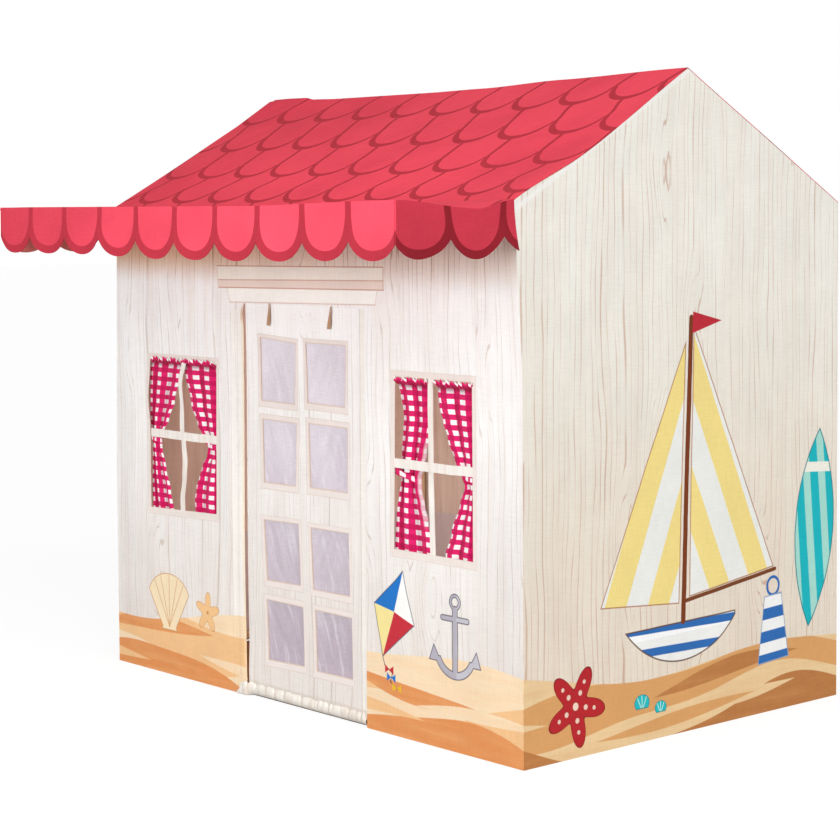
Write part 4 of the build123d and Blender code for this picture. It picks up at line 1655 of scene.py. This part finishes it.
# %% Side valances
reach = front - awning_edge
for name, sign in (("left", -1), ("right", 1)):
    columns = lines(0.0, reach, 0.0054, corner_line, scallop, 2 * scallop)
    if sign < 0:
        columns = [-c for c in reversed(columns)]
    valance = cut_cloth(f"valance_{name}_cloth", columns, rows, rise=scallop_depth)

    def valance_side_place(u, up):
        run = abs(u)
        share = -up / scallop_depth(run)
        drift = 0.0
        if sign > 0:
            first_cusp, second_cusp = (0.13, -0.0045 + 0.0087 * share), (0.26, 0.012 - 0.009 * share)
            drift = between(((0.0, 0.0), first_cusp, second_cusp, (0.297, 0.0)), run)
        y = awning_edge + run + drift
        flare = 0.005 * share**2 * soft(run, 2 * scallop - 0.03, reach)
        out = side - round_corner(run) + curl(run, share, 5.0 + sign) * soft(run, 0.0, 0.05) + flare
        forward = corner_pull(sign * side, eaves) * soft(y, awning_edge, front) * (1 - 0.10 * share)
        lift = corner_lift(sign * side) - side_sag(y, sign) * (1 - 0.45 * share)
        lift -= foot_drop(sign * side, share) * soft(0.10 - run, 0.0, 0.10)
        pulled_in = 0.006 * (1 - soft(run, 0.0, 0.06)) if sign < 0 else 0.0
        return sign * (out - pulled_in), y + forward, valance_top + up + lift

    hang(valance, valance_side_place)
    sew(
        valance, (f"valance_{name}",),
        (valance_canvas["side"], red_canvas),
    )

# %% [markdown]
# ## The door flap, its sheers and its foot
#
# The flap hangs from the cloth over the doorway, sewn behind the right-hand jamb and open
# at the left, where a narrow slit shows. The panes could be see-through parts of the print,
# but then they would have no edge, so they are cut out of the flat cloth as the windows
# were. Each pane's corners are drawn aside by its hems.

# %% Door flap
flap_left, flap_right, flap_top, flap_foot = -0.1740, 0.234, 0.859, 0.0172
flap_face = front + 0.0023
pane_moves = (
    ((17.5, 1), (14.5, 1), (17.5, 14), (22.5, 10)), ((20.5, 1), (11.5, 0), (14.5, 12), (24.5, 11)),
    ((10.5, 0), (1.5, 3), (7.5, 12), (19.5, 9)), ((7.5, 0), (3.5, 1), (6.5, 10), (14.5, 9)),
    ((8.5, 7), (-2.5, 5), (-7.5, 11), (12.5, 10)), ((2.5, 8), (2.5, 7), (1.5, 13), (7.5, 13)),
    ((3.5, 9), (-3.5, 1), (-8.5, 11), (5.5, 12)), ((-5.5, 4), (-1.5, 4), (-5.5, 15), (-0.5, 17)),
)
drawn_panes = list(zip(panes, pane_moves))


def flap_place(x, z):
    sway = 0.5 + 0.5 * billow(x, z, (0.10, 0.5), 6.2)
    loose = soft(0.21 - x, 0.0, 0.06) * soft(0.80 - z, 0.0, 0.10) * soft(z, 0.03, 0.12)
    shift_x, shift_z = drawn_out(x, z, drawn_panes, 0.036)
    shift_x += slit_bow(x, z, flap_left)
    return x + shift_x, flap_face + 0.0035 * sway * loose, z + shift_z


across = lines(flap_left, flap_right, 0.0075, *[e for q in panes for e in (q[0], q[2])])
up = lines(flap_foot, flap_top, 0.0075, *[e for q in panes for e in (q[1], q[3])])
flap = cut_cloth("door_flap_cloth", across, up, panes)
hang(flap, flap_place)
sew(
    flap, ("door_flap",),
    (flap_canvas, lining_canvas),
)

# %% [markdown]
# A sheer is sewn behind each pane. It goes where the flap goes, so its edge stays on the
# flap's back, and its middle has slanted folds. They lean one way in the left-hand panes
# and the other way in the right-hand ones.

# %% Sheers behind the panes
overlap = 0.006
for number, (left, bottom, right, top) in enumerate(panes, 1):
    across = lines(left - overlap, right + overlap, 0.005)
    up = lines(bottom - overlap, top + overlap, 0.005)
    sheer = cut_cloth(f"door_sheer_{number}", across, up)

    def sheer_place(x, z):
        hung_x, y, hung_z = flap_place(x, z)
        inside = soft(x - left, 0.0, 0.02) * soft(right - x, 0.0, 0.02)
        inside *= soft(z - bottom, 0.0, 0.02) * soft(top - z, 0.0, 0.02)
        slant = 0.5 if number % 2 else -0.4
        fold = 0.5 + 0.5 * billow(x + slant * z, z - slant * x, (0.018, 0.10), number * 1.7)
        return hung_x, y + 0.0015 + 0.0050 * fold * inside, hung_z

    hang(sheer, sheer_place)
    sew(
        sheer, ("door_sheers",),
        (sheer_material,), thick=0.0003,
    )

# %% [markdown]
# The sleeve at the flap's foot is a tube, gathered round the floor pole. It could start as a
# cylinder, but like all the cloth it starts as a flat grid, which is rolled round the
# pole until its two edges meet. Gathered cloth bunches at uneven distances: deep narrow
# creases between soft pillows. The creases are a list of places and depths, so that each
# can be moved. Its canvas has a darker line along every crease, a painted shade.

# %% Threshold sleeve
end_y, pole_y = -0.3070, -0.2839
creases = (
    (-0.1985, 0.6), (-0.1850, 0.8), (-0.1715, 1.0), (-0.150, 0.4), (-0.118, 0.3), (-0.087, 1.0),
    (-0.0555, 0.7), (-0.030, 0.3), (0.002, 1.0), (0.0447, 0.6), (0.054, 0.5), (0.070, 0.3),
    (0.0892, 1.0), (0.102, 0.5), (0.128, 0.3), (0.152, 0.7), (0.176, 0.6), (0.191, 0.9),
)
sleeve_ends = (-0.204, 0.208)


def crease_lean(at):
    """How far a crease leans along the pole on its way round."""
    return 0.010 * sin(360 * at)


def sleeve_place(x, turn):
    angle = 2 * pi * (0.75 - turn)
    crease = sum(deep * bell(x, at + crease_lean(at) * (turn - 0.7), 0.0030) for at, deep in creases)
    puff = 0.0011 * billow(x, angle, (0.016, 0.9), 1.1)
    tapered = soft(x, -0.208, -0.184) * (0.45 + 0.55 * soft(0.211 - x, 0.0, 0.016))
    round_pole = soft(x, -0.178, -0.160)
    deep = 0.0042 + round_pole * 0.0117
    high = (0.0030 + 0.0130 * tapered) - 0.0030 * min(crease, 1.2) + puff
    middle = end_y + round_pole * (pole_y - end_y)
    forward = cos(angle)
    shrink = 1 - 0.22 * min(crease, 1.2) * (0.3 + 0.7 * soft(forward, -0.4, 0.6))
    y = middle - (deep * shrink + puff * 0.5) * forward - 0.0042 * round_pole * soft(forward, 0.0, 0.9)
    z = max(0.0006, 0.0010 + high + high * sin(angle))
    return x, y, z


tree, finish_canvas = canvas_material("sleeve_canvas")
p = Print(tree, Nodes(tree).pattern_point(), ink("EFEAE1"))
p.colour = p.mix(p.ramp(p.noise(p.point, (60, 2), 2.0), 0.4, 0.7), p.colour, ink("E4DACE"))
# Painted shade: a darker line along every crease
for at, deep in creases:
    lean = crease_lean(at)
    p.paint(p.bar((at - 0.7 * lean, 0.0), (at + 0.3 * lean, 1.0), 0.0016), "C3AC98", 0.6 * deep, 0.0016)
sleeve_canvas = finish_canvas(p, p.point, p.colour)

sleeve = cut_cloth("threshold_sleeve_cloth", lines(*sleeve_ends, 0.0021), lines(0.0, 1.0, 1 / 40))
hang(sleeve, sleeve_place)
close_seam(face_out=True)
sew(
    sleeve, ("threshold_sleeve",),
    (sleeve_canvas,),
)

# %% [markdown]
# Two short ribbons hang over the door to tie the rolled flap up. Each is folded narrow at
# its seam and spreads to its full width at the end, with a slight twist.

# %% Ribbons
ribbon_places = {"left": (-0.0895, -0.0045), "right": (0.1095, -0.0075)}
for name, (middle, swing) in ribbon_places.items():
    ribbon = cut_cloth(f"door_ribbon_{name}", lines(-0.005, 0.005, 0.00125), lines(-0.045, 0.0, 0.0022))

    def ribbon_place(u, up):
        down = -up / 0.045
        narrow = 0.30 + 0.70 * soft(down, 0.0, 0.85)
        bend = swing * down
        cup = 0.0016 * (1 - (u / 0.005) ** 2) * (1 - 0.5 * down)
        return middle + u * narrow + bend, front - 0.0018 - cup, door[3] + 0.002 + up

    hang(ribbon, ribbon_place)
    sew(
        ribbon, ("door_ribbons",),
        (ribbon_cloth,), thick=0.0005,
    )

# %% [markdown]
# ## The windows
#
# Each window is an opening with a cross of two hemmed straps. The straps are narrow and a
# little slack, so the upright one of the left window hangs in a slow wave. They are cut
# and hung as all cloth here, from a narrow strip, with their ends tucked behind the wall.

# %% Window crosses
bar, tuck = 0.018, 0.006
bar_heights = {"left": 0.526, "right": 0.528}
waves = {
    "left": (
        (0.0, -0.006), (0.04, -0.006), (0.08, 0.001), (0.12, 0.004), (0.16, 0.0),
        (0.19, -0.006), (0.24, -0.006), (0.287, -0.011), (0.345, 0.006),
    ),
    "right": ((0.0, -0.006), (0.169, -0.010), (0.345, -0.011)),
}


def sew_strap(strap, stands_for):
    """Sews a narrow strip of plain canvas to the front wall."""
    sew(
        strap, stands_for,
        (plain_canvas,), thick=0.001,
    )


for name, middle in window_middles.items():
    widths = lines(-bar / 2, bar / 2, 0.003)
    lengths = lines(-tuck, window_size[1] + tuck, 0.006)
    strap = cut_cloth(f"window_upright_{name}", widths, lengths)

    def upright_place(u, v):
        twist = 0.8 if name == "right" else 0.9 - 0.25 * bell(v, 0.27, 0.05)
        y = front + 0.0012 + 0.001 * billow(u, v, (0.01, 0.05), 2.2)
        return middle + between(waves[name], v) + u * twist, y, window_sill + v

    hang(strap, upright_place)
    sew_strap(strap, (f"window_cross_{name}",))

    half = window_size[0] / 2
    lengths = lines(-half - tuck, half + tuck, 0.006)
    strap = cut_cloth(f"window_level_{name}", lengths, widths)

    def level_place(u, v):
        height = bar_heights[name] + v + 0.0015 * billow(u, v, (0.06, 1), 4.0)
        return middle + u, front + 0.0002 - 0.0006 * bell(u, 0, 0.02), height

    hang(strap, level_place)
    sew_strap(strap, ())

# %% [markdown]
# ## The curtains
#
# A pair of gingham curtains hangs behind each window. Each one is gathered on a tape at
# its head, tied at the level of the cross, and free below. Its outline is two lists of
# places, for its outer and its inner edge: the share of its height from the top, and the
# distance from the window's middle. After them come where its folds start and how far above
# the sill its foot hangs.

# %% Outlines of the curtains
curtain_flat = (0.104, 0.350)
curtain_middle = -0.2930
folds = 2
edges = {
    ("left", "left"): (
        (
            (0.0, -0.128), (0.15, -0.135), (0.40, -0.136), (0.50, -0.131), (0.56, -0.128),
            (0.80, -0.131), (1.0, -0.129),
        ),
        (
            (0.0, -0.012), (0.12, -0.022), (0.28, -0.042), (0.40, -0.064), (0.485, -0.084),
            (0.54, -0.094), (0.60, -0.091), (0.72, -0.078), (0.86, -0.061), (1.0, -0.049),
        ),
        0.3, 0.004,
    ),
    ("left", "right"): (
        ((0.0, 0.1215), (0.46, 0.1205), (0.56, 0.1130), (0.68, 0.1205), (1.0, 0.1215)),
        (
            (0.0, -0.006), (0.10, -0.003), (0.28, 0.017), (0.42, 0.040), (0.50, 0.063), (0.56, 0.081),
            (0.60, 0.076), (0.68, 0.058), (0.75, 0.046), (0.82, 0.035), (0.90, 0.030), (1.0, 0.033),
        ),
        2.0, 0.006,
    ),
    ("right", "left"): (
        (
            (0.0, -0.1170), (0.10, -0.1045), (0.17, -0.0975), (0.24, -0.0950),
            (0.31, -0.0975), (0.43, -0.1025), (0.53, -0.1045), (0.60, -0.1055),
            (0.68, -0.1115), (0.78, -0.1180), (0.92, -0.1215), (1.0, -0.1225),
        ),
        (
            (0.0, -0.0165), (0.24, -0.0190), (0.34, -0.0250), (0.42, -0.0310),
            (0.50, -0.0400), (0.56, -0.0470), (0.62, -0.0460), (0.72, -0.0360),
            (0.80, -0.0265), (0.91, -0.0200), (1.0, -0.0165),
        ),
        1.1, 0.004,
    ),
    ("right", "right"): (
        ((0.0, 0.1090), (1.0, 0.1090)),
        (
            (0.0, 0.0010), (0.08, 0.0020), (0.16, 0.006), (0.23, 0.016), (0.33, 0.029),
            (0.45, 0.048), (0.53, 0.068), (0.58, 0.076), (0.68, 0.062), (0.85, 0.038), (1.0, 0.019),
        ),
        3.4, 0.008,
    ),
}
print("places on the outlines:", sum(len(outer) + len(inner) for outer, inner, _, _ in edges.values()))

# %% [markdown]
# Between its two edges the cloth is thrown into two folds, shallow at the head and deep at
# the tie. The head has a row of small ruffles, which stand forward to the tape. The checks
# follow all that, because the gingham reads the flat layout. Each point also notes how much
# painted shade it gets, in the folds, under the ruffles and near one edge where it is tied,
# and whether the hem is turned out there, for the gingham's colours.

# %% Curtains
for (window, hand), (outer, inner, phase, foot) in edges.items():
    middle = window_middles[window]
    hem = windows[window][3] + 0.0035
    low, high = windows[window][0] - middle + 0.002, windows[window][2] - middle - 0.002
    across = lines(0.0, curtain_flat[0], 0.0017)
    down = lines(-curtain_flat[1], 0.0, 0.005, -0.012, -0.006)
    curtain = cut_cloth(f"curtain_{window}_{hand}", across, down)
    painted_fold_shade, turned = [], []

    def curtain_place(u, up):
        s, t = u / curtain_flat[0], -up / curtain_flat[1]
        if hand == "right":
            s = 1 - s
        a, b = between(outer, t), between(inner, t)
        tied = bell(t, 0.535, 0.11)
        frill = soft(0.045 - t, 0.0, 0.030)
        if frill:
            a, b = [c + (min(high, max(low, c)) - c) * frill for c in (a, b)]
        wave = 2 * pi * folds * s + phase + 1.3 * sin(2.2 * t + phase)
        bunch = (0.10 + 0.60 * tied) / (2 * pi * folds)
        ruffle = pi * 9 * s + phase + 0.6 * sin(9 * s + phase)
        x = a + (b - a) * min(1.0, max(0.0, s + bunch * sin(wave) * min(1, 8 * s * (1 - s))))
        deep = 0.0016 + 0.0024 * tied + 0.0010 * soft(t, 0.55, 1.0)
        y = curtain_middle - deep * cos(wave) - 0.0006 * cos(2 * wave + 1.0)
        y += frill * (front - 0.0026 - y) - frill * 0.0016 * cos(2 * ruffle)
        y += bell(t, 0.05, 0.02) * 0.0008 * cos(2 * ruffle)
        z = hem + (window_sill + foot - hem) * t
        z += 0.003 * billow(s * 3, phase, (1, 1), 2.0) * soft(t, 0.8, 1.0)
        z += frill * (0.0025 - 0.0060 * abs(sin(ruffle)) + 0.0012 * billow(s * 9, phase, (1, 1), 4.0))
        # Painted shade: darker where the cloth is folded in, under the head's ruffles, and near one edge at
        # the tie
        folded_in = soft(-cos(wave), 0.45, 1.0) * (0.45 + 0.55 * tied) * soft(t, 0.02, 0.15)
        folded_in = max(folded_in, 0.8 * bell(t, 0.045, 0.018) * (1 - frill))
        painted_fold_shade.append(min(1.0, folded_in + 0.45 * tied * soft(1 - s if hand == "left" else s, 0.75, 1.0)))
        hem_turned = soft(s, 0.86, 0.90) * soft(t, 0.33, 0.40) * soft(0.86 - t, 0.0, 0.10)
        turned.append(0.75 * hem_turned if (window, hand) == ("right", "left") else 0.0)
        return middle + x, y, z

    hang(curtain, curtain_place)
    curtain.data.attributes.new("fold", "FLOAT", "POINT").data.foreach_set("value", painted_fold_shade)
    curtain.data.attributes.new("turned", "FLOAT", "POINT").data.foreach_set("value", turned)
    sew(
        curtain, (f"{window}_window_{hand}_curtain",),
        (gingham, gingham_reverse), thick=0.0005,
    )

# %% [markdown]
# A tape holds the head of both curtains, and a band of the same gingham ties each one. The
# band starts as a short strip whose two ends meet round the curtain's waist.

# %% Tapes and ties
tape_height = window_sill + window_size[1] + 0.0075
for window, middle in window_middles.items():
    tape = cut_cloth(f"curtain_tape_{window}", lines(-0.112, 0.112, 0.006), lines(-0.0045, 0.0045, 0.003))
    hang(tape, lambda u, v: (middle + u, front + 0.0023, tape_height + v))
    sew_strap(tape, ("curtain_tapes",))

ties = {
    ("left", "left"): (-0.1110, 0.0190, 0.16, 0.014),
    ("left", "right"): (0.0970, 0.0175, 0.16, 0.014),
    ("right", "left"): (-0.0900, 0.0350, 0.22, 0.021),
    ("right", "right"): (0.0975, 0.0185, 0.16, 0.014),
}
for (window, hand), (middle, reach_out, tilt, below) in ties.items():
    length = 0.030 + 3.3 * reach_out
    tie = cut_cloth(f"tie_back_{window}_{hand}", lines(0.0, length, 0.0025), lines(-0.0070, 0.0070, 0.0028))
    for corner in tie.data.uv_layers.active.data:
        corner.uv.x *= 1.67  # the tie isn't gathered, so its checks are square

    def tie_place(u, v):
        angle = 2 * pi * u / length
        pinch = 1 - 0.25 * sin(angle * 2 + 1.0) ** 2
        depth = 0.0066 + 0.0004 * sin(3 * angle)
        x = window_middles[window] + middle + reach_out * sin(angle)
        y = curtain_middle - depth * cos(angle)
        return x, y, bar_heights[window] - below + v * pinch - tilt * reach_out * sin(angle)

    hang(tie, tie_place)
    close_seam()
    sew(
        tie, ("tie_backs",),
        (gingham,), thick=0.0006,
    )

# %% [markdown]
# ## The dressed house and its frame
#
# The cloth has thickness and billows, so the dressed house is a little larger than the
# bare frame.
